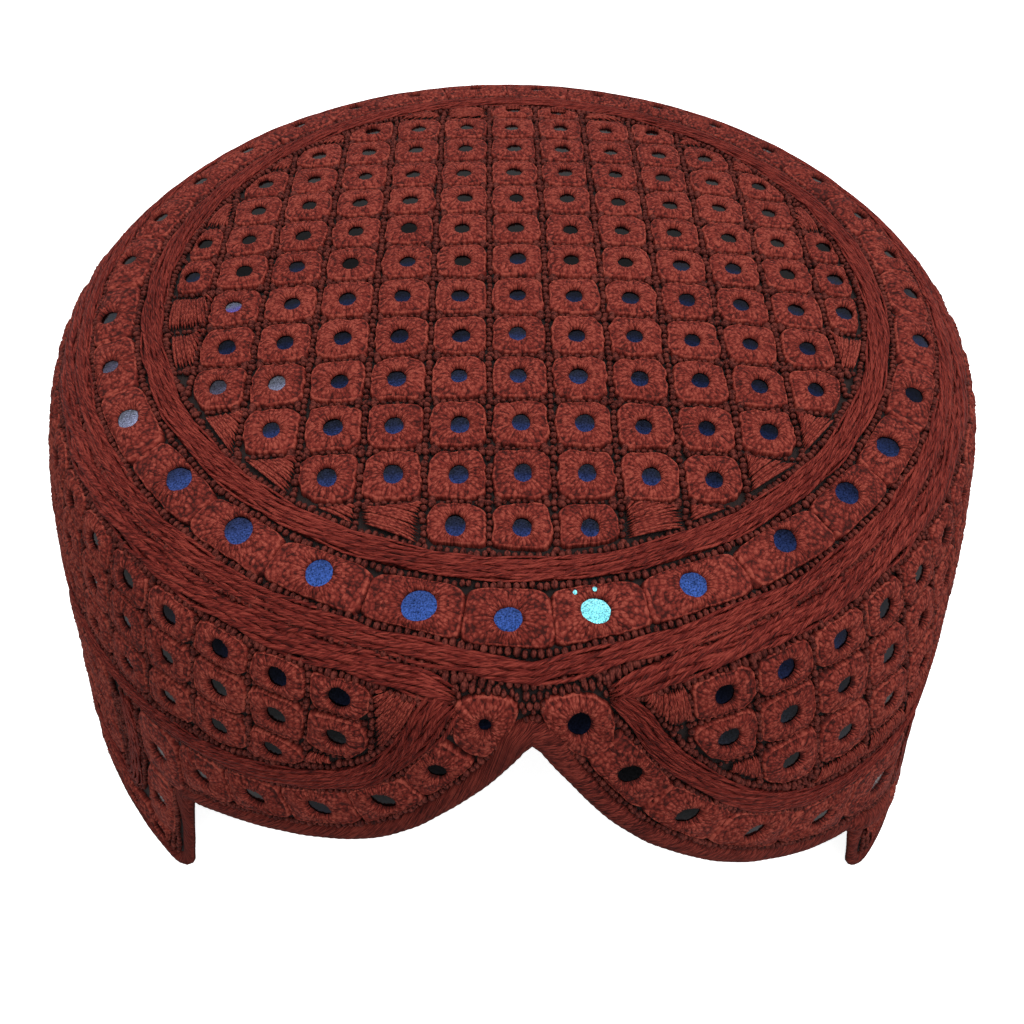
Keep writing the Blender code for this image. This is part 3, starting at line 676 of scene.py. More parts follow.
def mirrorMaterial(name, look):
    material, tree, shader = newMaterial(name, {"Metallic": 1.0, "Roughness": look["roughness"]})
    # the base colour carries each mirror's painted reflection, speckled
    paintedReflection = addNode(tree, "Attribute", attribute_name="paintedReflection").outputs["Vector"]
    place = addNode(tree, "TexCoord").outputs["Object"]
    dust = addNode(tree, "TexNoise", {"Scale": look["dust"], "Vector": place}).outputs["Fac"]
    addBump(tree, shader, dust, 0.15, 0.0001)
    specks = addNode(tree, "TexNoise", {"Scale": look["specks"], "Detail": 1.0, "Vector": place})
    share = mathNode(tree, "MULTIPLY_ADD", specks.outputs["Fac"], 3.0, -0.5)
    speckled = addNode(tree, "VectorMath", {0: paintedReflection, "Scale": share}, operation="SCALE")
    tree.links.new(speckled.outputs[0], shader.inputs["Base Color"])
    return material


mirrorLook = {
    "roughness": 0.10,
    "dust": 2600.0,
    "specks": 4200.0,
}
mirrorGlass = mirrorMaterial("mirrorGlass", mirrorLook)
print("materials made")


# Pads of stitches round a mirror. Columns of rings: reach (1 at the mirror, 2 at the outline), height,
# how far the groove between two stitches drops, tone on a stitch, tone in a groove
# The two tones are painted shade and light: darker in the grooves, at the pad's foot and down the hole,
# lighter on the raised rim
padShape = {
    "spokes": 60,
    "rings": [
        (2.08, -0.00140, 0.00000, 0.20, 0.20),
        (2.02, -0.00072, 0.00004, 0.50, 0.40),
        (1.95, -0.00024, 0.00005, 0.84, 0.72),
        (1.87, -0.00036, 0.00008, 0.34, 0.24),
        (1.70, -0.00008, 0.00016, 0.56, 0.40),
        (1.48, 0.00008, 0.00016, 0.58, 0.44),
        (1.28, 0.00012, 0.00011, 0.60, 0.48),
        (1.12, 0.00002, 0.00009, 0.66, 0.54),
        (1.00, -0.00026, 0.00006, 0.58, 0.44),
        (0.95, -0.00090, 0.00000, 0.08, 0.05),
    ],
}
ringPadShape = dict(padShape, spokes=84)
# painted shade: the hole's wall is painted darker still, as if in shade
holeRingsWithPaintedShade = [(1.00, -0.00030, 0.00006, 0.26, 0.18), (0.95, -0.00090, 0.00000, 0.02, 0.02)]
wallPadShape = dict(padShape, spokes=48, rings=padShape["rings"][:-2] + holeRingsWithPaintedShade)
edgePadShape = dict(wallPadShape, spokes=84)
backPadShape = dict(wallPadShape, spokes=36)


def padOutline(corners, centre, insets, angles, squareness):
    # rounded polygon round the centre: each side holds the outline back by its own distance
    c = np.asarray(corners, float) - centre
    edge = np.roll(c, -1, axis=0) - c
    normal = np.column_stack([edge[:, 1], -edge[:, 0]]) / np.hypot(edge[:, 0], edge[:, 1])[:, None]
    reach = (normal * c).sum(axis=1)
    normal[reach < 0] *= -1
    reach = np.maximum(np.abs(reach) - insets, 0.0002)
    facing = np.column_stack([np.cos(angles), np.sin(angles)]) @ normal.T
    return ((np.clip(facing, 0, None) / reach) ** squareness).sum(axis=1) ** (-1 / squareness)


def centreOf(corners):
    p = np.asarray(corners, float)
    q = np.roll(p, -1, axis=0)
    cross = p[:, 0] * q[:, 1] - q[:, 0] * p[:, 1]
    area = cross.sum() / 2
    return ((p + q) * cross[:, None]).sum(axis=0) / (6 * area), abs(area)


def jitter(size, *shape):
    return (random.random(shape or None) - 0.5) * size


seedShift = np.array((0.013, 0.007, 0))   # moves the pattern of stitches on from piece to piece
padWear = {
    "swing": 1.1,               # how far a stitch turns aside, as a share of half a spoke
    "grooves": (0.35, 1.55),    # depth of a groove, as a share of the shape's
    "reach": 0.10,
    "stitchLift": 0.00008,
    "pointLift": 0.00018,
    "tone": 0.16,
    "threadReach": 0.0012,
}


def lumps(angles, size, waves):
    # a closed, slightly uneven line round a pad
    bumps = np.zeros_like(angles)
    for wave in waves:
        bumps += np.cos(wave * angles + 2 * math.pi * random.random()) * random.random()
    return 1 + bumps * size


def layPad(heap, pattern, cell, place):
    angle, reach, spoke, spokes = (pattern[key] for key in ("angle", "reach", "spoke", "spokes"))
    hole = cell["hole"]
    swing = jitter(padWear["swing"], spokes) * math.pi / spokes
    least, most = padWear["grooves"]
    depth = least + random.random(spokes) * (most - least)
    reachShift = jitter(padWear["reach"], spokes)
    middleZone = np.clip(1 - np.abs(reach - 1.6) / 0.4, 0, 1)
    turned = angle + swing[spoke] * np.clip(reach - 0.9, 0, 1)
    outline = padOutline(cell["corners"], cell["centre"], cell["insets"], turned, cell["squareness"])
    outline = outline * lumps(turned, cell["uneven"], (3, 5, 7, 11))
    squash = (1 + cell["oval"] * np.cos(2 * (turned - cell["towards"]))) * lumps(turned, 0.02, (3, 4, 7))
    share = reach - 1 + reachShift[spoke] * middleZone
    radius = hole * squash + (outline - hole * squash) * share
    lift = pattern["height"] - pattern["drop"] * depth[spoke] + cell["lift"]
    lift = lift + jitter(padWear["stitchLift"], spokes)[spoke] * (reach < 2.0)
    lift = lift + jitter(padWear["pointLift"], len(angle)) * (np.abs(reach - 1.5) < 0.49)
    x = cell["centre"][0] + radius * np.cos(turned)
    y = cell["centre"][1] + radius * np.sin(turned)
    # the pad's painted shade and light, plus random tone per stitch and per cell
    shade = pattern["tone"] + jitter(padWear["tone"], spokes)[spoke] * (reach < 2.05) + cell["shade"]
    thread = threadMap(np.abs(angle) * (hole + padWear["threadReach"]), radius) + cell["seed"] * seedShift
    heap.add(place(x, y, lift), pattern["faces"], 0, np.clip(shade, 0, 1), thread)


glassFit = {
    "lift": -0.00066,
    "overlap": 1.14,    # its radius, in holes of the pad
    "tilt": 0.10,
    "wobble": 0.05,
    "dusk": (-0.85, 0.45),    # where its light side gives way to the dark one
}


def layGlass(heap, cell, place):
    # the glass's colour is a painted reflection: its near side takes the reflection's colour, and its far
    # side, away from the camera, is painted dark as the far rim's shade and reflection
    x, y, _ = glassPattern["points"].T
    around = np.arctan2(y, x)
    radius = cell["hole"] * glassFit["overlap"] * (1 + cell["oval"] * np.cos(2 * (around - cell["towards"])))
    tilt = jitter(glassFit["tilt"], 2)
    wobble = 1 + glassFit["wobble"] * np.cos(3 * around + cell["seed"])
    lift = glassFit["lift"] + cell["rise"] + cell["lift"] + (x * tilt[0] + y * tilt[1]) * radius
    points = place(cell["centre"][0] + x * radius * wobble, cell["centre"][1] + y * radius * wobble, lift)
    far = ease(x * cell["far"][0] + y * cell["far"][1] - cell["lit"], *glassFit["dusk"])[:, None]
    near, dark = np.array(glassPaintedReflections[cell["glass"]])
    heap.add(points, glassPattern["faces"], 1, 0.5, (0, 0, 0), near * (1 - far) + dark * far)


def makeCell(corners, insets, hole, centre=None, **more):
    cell = {
        "corners": corners,
        "centre": np.asarray(centreOf(corners)[0] if centre is None else centre),
        "insets": insets,
        "squareness": 4.4,
        "hole": hole * (0.93 + 0.14 * random.random()),
        "oval": 0.08 + 0.05 * random.random(),
        "lift": jitter(0.0002),
        "shade": jitter(0.08),
        "seed": 100 * random.random(),
        "uneven": 0.032,
        "mirror": True,
        "hidden": False,    # round the back a plainer pad does
        "rise": 0.0,    # how much nearer the rim the mirror lies
        # glass names the painted reflection, and far the side of the glass that is painted dark
        "glass": "dark",
        "far": (0.0, 1.0),
        "lit": 0.0,     # how far the lit side of the glass reaches across
    }
    cell.update(more)
    if "towards" not in cell:   # seen at a slant, a mirror is held rather round
        cell["towards"] = math.atan2(cell["far"][1], cell["far"][0])
    return cell


def satinCell(corners, run):
    return {"corners": corners, "mirror": False, "run": run}


def crownFar(centre):
    # the way away from the camera, towards which a crown mirror's glass is painted dark
    away = np.array(centre) - np.array(cameraSetup["place"][:2])
    return away / np.hypot(*away)


def sideFar(u):
    # on the side, the way towards which a mirror's glass is painted dark
    turn = math.radians(signed(math.degrees(u / capForm["chartRadius"])))
    return (math.sin(turn), -0.5 * abs(math.cos(turn)))


def laySatin(heap, corners, run, place, look):
    # long threads side by side, closer together at one end. They fill the polygon and dip at both ends
    c = np.asarray(corners, float)
    middle = centreOf(corners)[0]
    run = np.asarray(run, float) / np.hypot(*run)
    side = np.array((-run[1], run[0]))
    t = (c - middle) @ side
    s = (c - middle) @ run
    points = strandPattern["points"]
    f = points[:, 0] / points[:, 0].max()
    around = strandPattern["around"]
    swell = np.sin(math.pi * np.clip(f, 0.0, 1.0))
    thick = look["pitch"] * look["thickness"] * np.maximum(swell, 0) ** 0.35
    low = t.min() + look["inset"]
    high = t.max() - look["inset"]
    for t0 in np.linspace(low, high, max(2, round((high - low) / look["pitch"]))):
        hits = [sa + (sb - sa) * (t0 - ta) / (tb - ta)
                for ta, sa, tb, sb in zip(t, s, np.roll(t, -1), np.roll(s, -1)) if (ta - t0) * (tb - t0) < 0]
        if len(hits) < 2:
            continue
        start = min(hits) + look["inset"] * (0.5 + random.random())
        end = max(hits) - look["inset"] * (0.5 + random.random())
        if end - start < look["shortest"]:
            continue
        fan = 1 + look["fan"] * (f - 0.5)
        across = (t0 + jitter(look["pitch"]) * 0.5) * fan + np.cos(around) * thick
        lift = look["foot"] + look["rise"] * swell ** 0.45 + np.sin(around) * thick * 0.8 + jitter(0.0001)
        along = start + (end - start) * f
        spot = middle + along[:, None] * run + across[:, None] * side
        # painted light and shade: each thread lighter on top and darker underneath, plus random tone
        shade = 0.50 + 0.10 * np.sin(around) + jitter(0.14)
        thread = threadMap(np.abs(around) * thick + t0, along)
        heap.add(place(spot[:, 0], spot[:, 1], lift), strandPattern["faces"], 0, np.clip(shade, 0, 1), thread)


padPattern = modelPad(padShape)
ringPadPattern = modelPad(ringPadShape)
wallPadPattern = modelPad(wallPadShape)
edgePadPattern = modelPad(edgePadShape)
backPadPattern = modelPad(backPadShape)
glassPattern = modelGlass(18)
strandPattern = modelStrand(5, 6)
satinFill = {
    "pitch": 0.00042,
    "inset": 0.00045,
    "shortest": 0.0008,
    "thickness": 0.78,    # a thread's radius, in pitches
    "foot": -0.00105,
    "rise": 0.00090,
    "fan": 0.35,
}
groundLift = -0.00145    # the cloth between the stitches, below the cap's outer form
print("stitch patterns modelled")


def keepInCircle(corners, radius):
    kept = []
    for p, q in zip(corners, corners[1:] + corners[:1]):
        inP = math.hypot(*p) <= radius
        inQ = math.hypot(*q) <= radius
        if inP:
            kept.append(p)
        if inP != inQ:
            a = (q[0] - p[0]) ** 2 + (q[1] - p[1]) ** 2
            b = 2 * (p[0] * (q[0] - p[0]) + p[1] * (q[1] - p[1]))
            root = math.sqrt(b * b - 4 * a * (p[0] ** 2 + p[1] ** 2 - radius ** 2))
            t = (-b + (root if inP else -root)) / (2 * a)
            kept.append((p[0] + (q[0] - p[0]) * t, p[1] + (q[1] - p[1]) * t))
    return kept


def keepAbove(corners, a, b):
    def side(p):
        return (b[0] - a[0]) * (p[1] - a[1]) - (b[1] - a[1]) * (p[0] - a[0])

    kept = []
    for p, q in zip(corners, corners[1:] + corners[:1]):
        sp = side(p)
        sq = side(q)
        if sp <= 1e-9:
            kept.append(p)
        if (sp < -1e-9 and sq > 1e-9) or (sp > 1e-9 and sq < -1e-9):
            t = sp / (sp - sq)
            kept.append((p[0] + (q[0] - p[0]) * t, p[1] + (q[1] - p[1]) * t))
    return kept


# Crown field
crownCell = {"insets": 0.00060, "hole": 0.00172}
ringCell = {"insets": 0.00012, "lit": 0.3, "squareness": 6.5, "uneven": 0.016}
glassPaintedReflections = {    # painted reflections on the glass: near side, far side painted dark as the far rim's shade
    "dark": ((0.0060, 0.0062, 0.0085), (0.0030, 0.0030, 0.0032)),
    "grey": ((0.0200, 0.0215, 0.0250), (0.0040, 0.0042, 0.0046)),
    "deep": ((0.0055, 0.0080, 0.0240), (0.0030, 0.0034, 0.0048)),
    "wall": ((0.0150, 0.0250, 0.0900), (0.0060, 0.0075, 0.0180)),
    "navy": ((0.0120, 0.0205, 0.0760), (0.0066, 0.0072, 0.0074)),
    "ring": ((0.0180, 0.0330, 0.1150), (0.0075, 0.0088, 0.0150)),
    "blue": ((0.0190, 0.0440, 0.1650), (0.0150, 0.0300, 0.1000)),
    "steel": ((0.0260, 0.0300, 0.0460), (0.0090, 0.0100, 0.0120)),
    "lilac": ((0.1100, 0.1050, 0.1800), (0.0300, 0.0320, 0.0380)),
    "violet": ((0.1500, 0.0900, 0.5500), (0.1100, 0.1350, 0.1300)),
    "pale": ((0.2400, 0.2600, 0.4000), (0.0800, 0.0850, 0.1000)),
    # flash is a painted glint
    "flash": ((0.1200, 0.4200, 0.4800), (0.1500, 0.4400, 0.5000)),
}
crownReflections = {(-5, 5): "violet", (-5, 3): "lilac", (-4, 3): "pale"}   # the other painted reflections, by column and row


def crownCells(layout):
    rowsOf = {column: (first, last) for column, first, last in layout["columns"]}
    pitch = layout["pitch"]
    half = pitch / 2
    cells = []
    for column in range(-6, 7):
        for row in range(-1, 14):
            x = column * pitch
            y = (row - 6) * pitch + layout["shift"]
            square = [(x - half, y - half), (x + half, y - half), (x + half, y + half), (x - half, y + half)]
            corners = keepInCircle(square, layout["fieldRadius"])
            if len(corners) < 3:
                continue
            middle, area = centreOf(corners)
            if area < layout["leastShare"] * pitch ** 2:
                continue
            first, last = rowsOf[column]
            if first <= row <= last:
                # painted reflection: the front rows take the navy one, the rows further back the dark one
                glass = "navy" if row < 5 + 2 * random.random() else "dark"
                glass = crownReflections.get((column, row), glass)
                centre = np.array((x, y)) * 0.4 + middle * 0.6 + jitter(0.0006, 2)
                cells.append(makeCell(corners, **crownCell, centre=centre, glass=glass, far=crownFar(centre)))
            else:
                cells.append(satinCell(corners, (-middle[1], middle[0])))
    return cells


def buildField(name, cells, pattern, place, replaced, ground=None, chips=()):
    heap = Heap()
    for chip in chips:
        layGlass(heap, chip, place)
    for cell in cells:
        if cell["mirror"]:
            layPad(heap, backPadPattern if cell["hidden"] else pattern, cell, place)
            layGlass(heap, cell, place)
        else:
            laySatin(heap, cell["corners"], cell["run"], place, satinFill)
    if ground:
        sheet, spread = ground
        u, v = spread(*sheet["points"].T[:2])
        heap.add(place(u, v, np.full(len(u), groundLift)), sheet["faces"], 2, 0.5, (0, 0, 0))
    finishPiece(name, heap, [rustThread, mirrorGlass, groundClothAndShade], replaced)


def crownSpread(x, y):
    return 0.083 * y * np.sin(2 * math.pi * x), -0.083 * y * np.cos(2 * math.pi * x)


buildField("crownMirrorField", crownCells(crownLayout), padPattern, crownPlace, "crown_mirror_field",
           (modelSheet(180, 14), crownSpread))


def ringCells(layout):
    inner = layout["innerBandRadius"] + 0.0034
    outer = layout["edgeRadius"] - 0.0018
    ring = list(layout["ringFront"])
    gap = (ring[0][0] + 360 - ring[-1][0]) / (layout["ringBack"] + 1)
    ring += [(ring[-1][0] + gap * (k + 1), 0.0732, 0.0016, "dark") for k in range(layout["ringBack"])]
    middles = np.array([row[0] for row in ring])
    starts = (middles + np.roll(middles, 1) - np.where(np.arange(len(middles)) == 0, 360, 0)) / 2
    ends = np.append(starts[1:], starts[0] + 360)
    cells = []
    for low, high, (middle, radius, hole, glass) in zip(starts, ends, ring):
        corners = [crownSpot(a, r + dip * frontDip(a))
                   for a, r, dip in ((low, inner, 0), (low, outer, 0.8), ((low + high) / 2, outer, 0.8),
                                     (high, outer, 0.8), (high, inner, 0))]
        centre = crownSpot(middle, radius)
        aside = abs(signed(middle))
        oval = -0.07 + 0.15 * float(ease(aside, 10, 36))
        # painted shade: the ring's cells are darkened, more towards the right, where the key light falls on
        # them
        paintedRingShade = 0.08 + 0.05 * float(ease(signed(middle), 20, 50))
        cells.append(makeCell(corners, **ringCell, hole=hole, centre=centre, glass=glass,
                              far=crownFar(centre), oval=oval, shade=jitter(0.08) - paintedRingShade))
    return cells


def crownSpot(azimuth, radius):
    turned = math.radians(azimuth + capForm["frontTurn"])
    return (radius * math.sin(turned), -radius * math.cos(turned))


# painted glints: tiny chips lifted over the stitches, in the bright flash reflection
paintedGlintChips = [makeCell([(0, 0), (1, 0), (0, 1)], 0.0, 0.00030, centre=crownSpot(*spot), glass="flash",
                     lift=0.0008) for spot in crownLayout["paintedGlintChips"]]
buildField("crownMirrorRing", ringCells(crownLayout), ringPadPattern, crownPlace, "crown_mirror_ring",
           chips=paintedGlintChips)
print("crown laid")


# Side fields
sideCell = {"insets": 0.00045, "hole": 0.00170, "oval": 0.09, "towards": 0.0}
frontEdgeCell = {"insets": 0.0002, "towards": 0.0, "squareness": 7.0, "uneven": 0.015}
frontEdgeOvals = (0.0, 0.10, 0.14, 0.14, 0.12, 0.02)
# painted reflections of the front edge mirrors, from the cusp on
frontEdgeReflections = ("deep", "dark", "grey", "deep", "dark", "grey")
lastRightRise = 0.0002    # lifts the last mirror on the right, which is seen at a slant
backEdgeCell = {
    "insets": 0.0002, "hole": 0.0021, "oval": 0.0, "towards": 0.0, "uneven": 0.015, "rise": 0.0001,
}
hiddenEdgeCell = {"insets": 0.0002, "hole": 0.0016, "oval": 0.03, "hidden": True}
backCell = {"insets": 0.0006, "hole": 0.00175, "oval": 0.03}
sideReflections = {    # painted reflections, by column from the front, the left ones below 0 from -1 on, and by row
    (0, 0): "deep", (0, 1): "steel", (1, 0): "wall", (1, 1): "steel", (1, 2): "grey", (2, 0): "wall",
    (2, 1): "deep", (2, 2): "steel", (3, 0): "deep", (-1, 0): "deep", (-1, 1): "grey", (-2, 0): "deep",
    (-2, 1): "grey", (-2, 2): "grey", (-3, 0): "deep", (-3, 1): "grey", (-3, 2): "dark", (-4, 0): "deep",
}


def columnEdges(layout):
    first = layout["firstColumn"]
    step = (360 - 2 * first) / (layout["columns"] - 1)
    middles = np.array([first + k * step for k in range(layout["columns"])])
    for k, (left, right) in enumerate(layout["frontColumns"]):
        middles[k] = right
        middles[-1 - k] = 360 - left
    between = (middles[1:] + middles[:-1]) / 2
    return [first - step / 2] + [float(a) for a in between] + [360 - first + step / 2]


def sideCells(layout):
    edges = columnEdges(layout)
    edges = [layout["tipAzimuth"]] + edges + [360 - layout["tipAzimuth"]]
    floor = moved(lowerBandLine, layout["band"] / 2 + layout["beadGap"] / 2)
    cells = []
    for column, (low, high) in enumerate(zip(edges, edges[1:])):
        a = float(alongSide(low))
        b = float(alongSide(high))
        cut = [(u, float(np.interp(u, floor[:, 0], floor[:, 1]))) for u in (a, b)]
        aside = abs(signed((low + high) / 2))
        if high > 359 - layout["tipAzimuth"]:
            tip = [(fullTurn - u, v) for u, v in layout["leftTip"]]
            cells.append(satinCell(tip, (-0.51, 0.86)))
            continue
        for row in range(len(layout["rows"]) - 1):
            square = [(a, rowDepth(low, row + 1)), (b, rowDepth(high, row + 1)), (b, rowDepth(high, row)),
                      (a, rowDepth(low, row))]
            corners = keepAbove(square, *cut)
            if len(corners) < 3:
                continue
            share = centreOf(corners)[1] / centreOf(square)[1]
            if share < layout["leastShare"]:
                continue
            if row < 3 and share > layout["mirrorShare"] and column > 0:
                glass = ("deep", "dark", "grey", "dark")[int(4 * random.random())]
                fromFront = column - 1 if column < 24 else column - len(edges) + 2
                glass = sideReflections.get((fromFront, row), glass)
                cells.append(makeCell(corners, **sideCell, glass=glass, far=sideFar((a + b) / 2),
                                      hidden=aside > layout["plainFrom"]))
            else:
                cells.append(satinCell(corners, (0.0, 1.0)))
    return cells


def hemTop(u):
    inner = moved(hem, sideLayout["bindingWidth"] * 0.42, True)   # well under the binding
    order = np.argsort(inner[:, 0])
    return np.interp(u, inner[order, 0], inner[order, 1])


def sideSpread(x, y):
    u = x * fullTurn
    top = 0.0100
    return u, top + (hemTop(u) - top) * y


buildField("sideMirrorField", sideCells(sideLayout), wallPadPattern, sidePlace, "side_mirror_field",
           (modelSheet(380, 11), sideSpread))


def nearestOn(line, point):
    a = line[:-1]
    run = np.diff(line, axis=0)
    t = np.clip(((point - a) * run).sum(axis=1) / (run ** 2).sum(axis=1), 0, 1)
    near = a + run * t[:, None]
    return near[np.hypot(*(near - point).T).argmin()]


def frontEdgeCells(side, layout, holes):
    def facing(line):
        u = (line[:, 0] + fullTurn / 2) % fullTurn - fullTurn / 2
        kept = np.column_stack([side * u, line[:, 1]])[side * u > 0]
        return kept[np.argsort(kept[:, 0])]

    limit = float(alongSide(layout["notchAzimuth"])) - 0.0012
    inner = facing(moved(hem, layout["bindingWidth"] + layout["edgeCellGap"] * 0.6, True))
    floor = inner[(inner[:, 0] > 0.0011) & (inner[:, 0] < limit) & (inner[:, 1] < 0.075)]
    if side > 0:
        beyond = moved(np.array(layout["runOn"]), layout["bindingWidth"] + layout["edgeCellGap"] * 0.6)
        floor = np.vstack([floor[floor[:, 0] < beyond[0, 0]], beyond])
        limit = floor[-1, 0]
    band = facing(moved(lowerBandLine, -(layout["band"] + layout["beadGap"]) / 2))
    roof = np.vstack([(0.0095, layout["rows"][0]), band[band[:, 1] > layout["rows"][0] + 0.002]])
    ends = [floor[0, 0]] + [row[1 if side > 0 else 0] for row in layout["edgeCells"]]
    halfway = [(a + b) / 2 for a, b in zip(ends, ends[1:])]
    stations = [np.array((u, np.interp(u, *floor.T))) for u in ends]
    halfway = [np.array((u, np.interp(u, *floor.T))) for u in halfway]
    ceiling = [nearestOn(roof, p) for p in stations]
    ceiling[0] = roof[0]
    ceiling[-1] = np.array((stations[-1][0], np.interp(stations[-1][0], *roof.T)))
    cells = []
    for k in range(len(layout["edgeCells"])):
        corners = [stations[k], halfway[k], stations[k + 1], ceiling[k + 1], ceiling[k]]
        if k == 0:
            corners = layout["firstCells"][side]
        centre = layout["firstMirrors"][side] if k == 0 else centreOf(corners)[0]
        corners = [(side * u, v) for u, v in corners]
        cells.append(makeCell(corners, **frontEdgeCell, hole=holes[k], centre=(side * centre[0], centre[1]),
                              glass=frontEdgeReflections[k], far=sideFar(side * ends[k]), oval=frontEdgeOvals[k],
                              rise=lastRightRise if side > 0 and k == 5 else 0.0))
    return cells


for side, name, holes in ((1, "Right", [0.0018, 0.0018, 0.0018, 0.0019, 0.0020, 0.0025]),
                          (-1, "Left", [0.0011, 0.0015, 0.0020, 0.0019, 0.0018, 0.0018])):
    buildField("frontEdgeMirrors" + name, frontEdgeCells(side, sideLayout, holes), edgePadPattern, sidePlace,
               "front_edge_mirrors_" + name.lower())


def belowLowerBand(side, layout):
    depth = float(lowerBandCurve(side * (layout["notchAzimuth"] + 5)))
    return depth + layout["band"] / 2 + layout["beadGap"] + 0.0006


def backEdgeCells(layout):
    near = layout["bindingWidth"] + layout["edgeCellGap"]
    far = near + layout["edgeCellWidth"]
    beside = layout["sideBindingWidth"] + 0.0004
    floor = hemDepth - near
    roof = hemDepth - far

    def spot(side, inward, depth):
        return (sideEdge(side, depth) + inward, depth)

    cells = []
    ends = {}
    for side in (1, -1):
        top = belowLowerBand(side, layout) - 0.0008
        notch = notchDepth(side)
        outer = spot(side, near, roof)[0]
        inner = spot(side, far, roof)[0]
        corner = [(outer + 0.0016, floor), (inner, floor), (inner, roof), (outer, roof)]
        ends[side] = inner if side > 0 else fullTurn - inner
        if side > 0:   # the lobe lies over the side piece here, and plain stitches show below it
            under = [spot(side, beside, roof), spot(side, far, roof), (spot(side, far, notch)[0], 0.0808),
                     (spot(side, beside, notch)[0], 0.0768)]
            cells += [satinCell(outline, (0.2, 1.0)) for outline in (under, corner)]
            continue
        ups = ((0, notch), (far, notch), (far, top), (0, top))
        downs = ((beside, roof), (far, roof), (far, notch), (beside, notch))
        upper, lower = ([spot(side, *place) for place in places] for places in (ups, downs))
        for outline in (upper, lower, corner):
            corners = [(fullTurn - u, v) for u, v in outline]
            cells.append(makeCell(corners, **backEdgeCell, far=sideFar(corners[0][0])))
    step = (ends[-1] - ends[1]) / layout["backEdgeColumns"]
    for k in range(layout["backEdgeColumns"]):
        a = ends[1] + step * k
        b = a + step
        cells.append(makeCell([(a, floor), (b, floor), (b, roof), (a, roof)], **hiddenEdgeCell))
    return cells


buildField("backEdgeMirrors", backEdgeCells(sideLayout), wallPadPattern, sidePlace, "back_edge_mirrors")


def backInsets(layout):
    # how far in from the hem the middle of the band and the edge of the field lie
    cells = layout["bindingWidth"] + layout["edgeCellGap"] + layout["edgeCellWidth"]
    return cells + layout["beadGap"] + layout["band"] / 2, cells + layout["band"] + 2 * layout["beadGap"]


def backFieldEnds(layout):
    # where the field starts beside the right side piece's edge, and its lowest depth
    inset = backInsets(layout)[1]
    return sideEdge(1, hemDepth) + inset + 0.0006, hemDepth - inset


def backFieldDepth(u, row, layout):
    top = np.maximum(0.0440, lowerBandCurve(np.degrees(u / capForm["chartRadius"])))
    top = top + (layout["band"] / 2 + layout["beadGap"])
    return top + (backFieldEnds(layout)[1] - top) * row / layout["backRows"]


def backFieldCells(layout):
    start = backFieldEnds(layout)[0]
    step = (fullTurn - 2 * start) / layout["backColumns"]
    cells = []
    for k in range(layout["backColumns"]):
        a = start + step * k
        b = a + step
        for row in range(layout["backRows"]):
            corners = [(u, float(backFieldDepth(u, r, layout)))
                       for u, r in ((a, row + 1), (b, row + 1), (b, row), (a, row))]
            cells.append(makeCell(corners, **backCell))
    return cells


buildField("backMirrorField", backFieldCells(sideLayout), backPadPattern, sidePlace, "back_mirror_field")
print("side laid")


# Couched bands: strands twisted into a flat cord
def periodicDrift(t, size, waves):
    drift = np.zeros_like(t)
    for wave in waves:
        drift += np.sin(2 * math.pi * (wave * t + random.random())) * (0.6 + 0.8 * random.random())
    return drift * size / len(waves)


def layTube(heap, place, line, normals, pattern, across, lift, tone, thread):
    # across and lift are read from the line and off the cap's surface
    spot = line[pattern["station"]] + normals[pattern["station"]] * across[:, None]
    points = place(spot[:, 0], spot[:, 1], lift)
    points[:, 2] = np.maximum(points[:, 2], 0.0)   # nothing reaches below the floor
    heap.add(points, pattern["faces"], 0, np.clip(tone, 0, 1), thread)


def layBand(name, line, place, look, replaced):
    # a flat core, and over it strands that wander across one another
    normals = normalsOf(line, look["loop"])
    lengths = lengthsOf(line)
    t = lengths / lengths[-1]
    weaves = max(2, round(lengths[-1] / look["weave"]))
    flat = np.zeros_like(t)
    spread = flat + 1
    closed = flat + 1
    if not look["loop"]:
        ends = np.minimum(t, 1 - t) * lengths[-1]
        spread = 0.6 + 0.4 * np.clip(ends / 0.006, 0, 1)
        spread += look["fan"] * (1 - ease(lengths[-1] * (1 - t), 0.004, 0.016))
        closed[[0, -1]] = 0
    heap = Heap()

    def addTube(sides, across, lift, wide, high, shade, seed):
        pattern = modelStrand(sides, len(line) - 1)
        station = pattern["station"]
        around = pattern["around"]
        slant = np.abs(around) * look["thickness"] + lengths[station] * look["slant"]
        thread = threadMap(slant + seed, lengths[station] + 0.7 * seed)
        offset = across[station] + np.cos(around) * wide[station]
        # painted light and shade: each strand lighter on top, darker underneath
        layTube(heap, place, line, normals, pattern, offset, lift[station] + np.sin(around) * high[station],
                shade[station] + 0.12 * np.sin(around), thread)

    # the core's lower tone is painted shade in the gaps between the strands
    core = look["core"]
    addTube(8, flat, flat + look["lift"] - core["drop"], closed * spread * look["width"] * 0.5,
            closed * core["height"], flat + core["tone"], 0.0)
    for k in range(look["strands"]):
        base = (k + 0.5) / look["strands"] - 0.5
        wave = 2 * math.pi * (weaves * t + 0.37 * k) + periodicDrift(t, 1.2, (3, 5, 9))
        across = (base * look["width"] + np.sin(wave) * look["wander"]) * spread
        side = np.clip(2 * across / look["width"], -1, 1)
        lift = look["lift"] + look["height"] * np.sqrt(1 - 0.8 * side ** 2) + np.cos(wave) * 0.00010
        lift = lift + periodicDrift(t, 0.00006, (8, 15, 23))
        thick = closed * spread ** 0.6 * look["thickness"] * (0.85 + 0.3 * random.random())
        shade = flat + 0.46 + jitter(0.16) + periodicDrift(t, 0.10, (11, 17, 29))
        addTube(look["sides"], across, lift, thick, thick * 0.85, shade, 0.1 * (k + 1))
    finishPiece(name, heap, [satinThread], replaced)


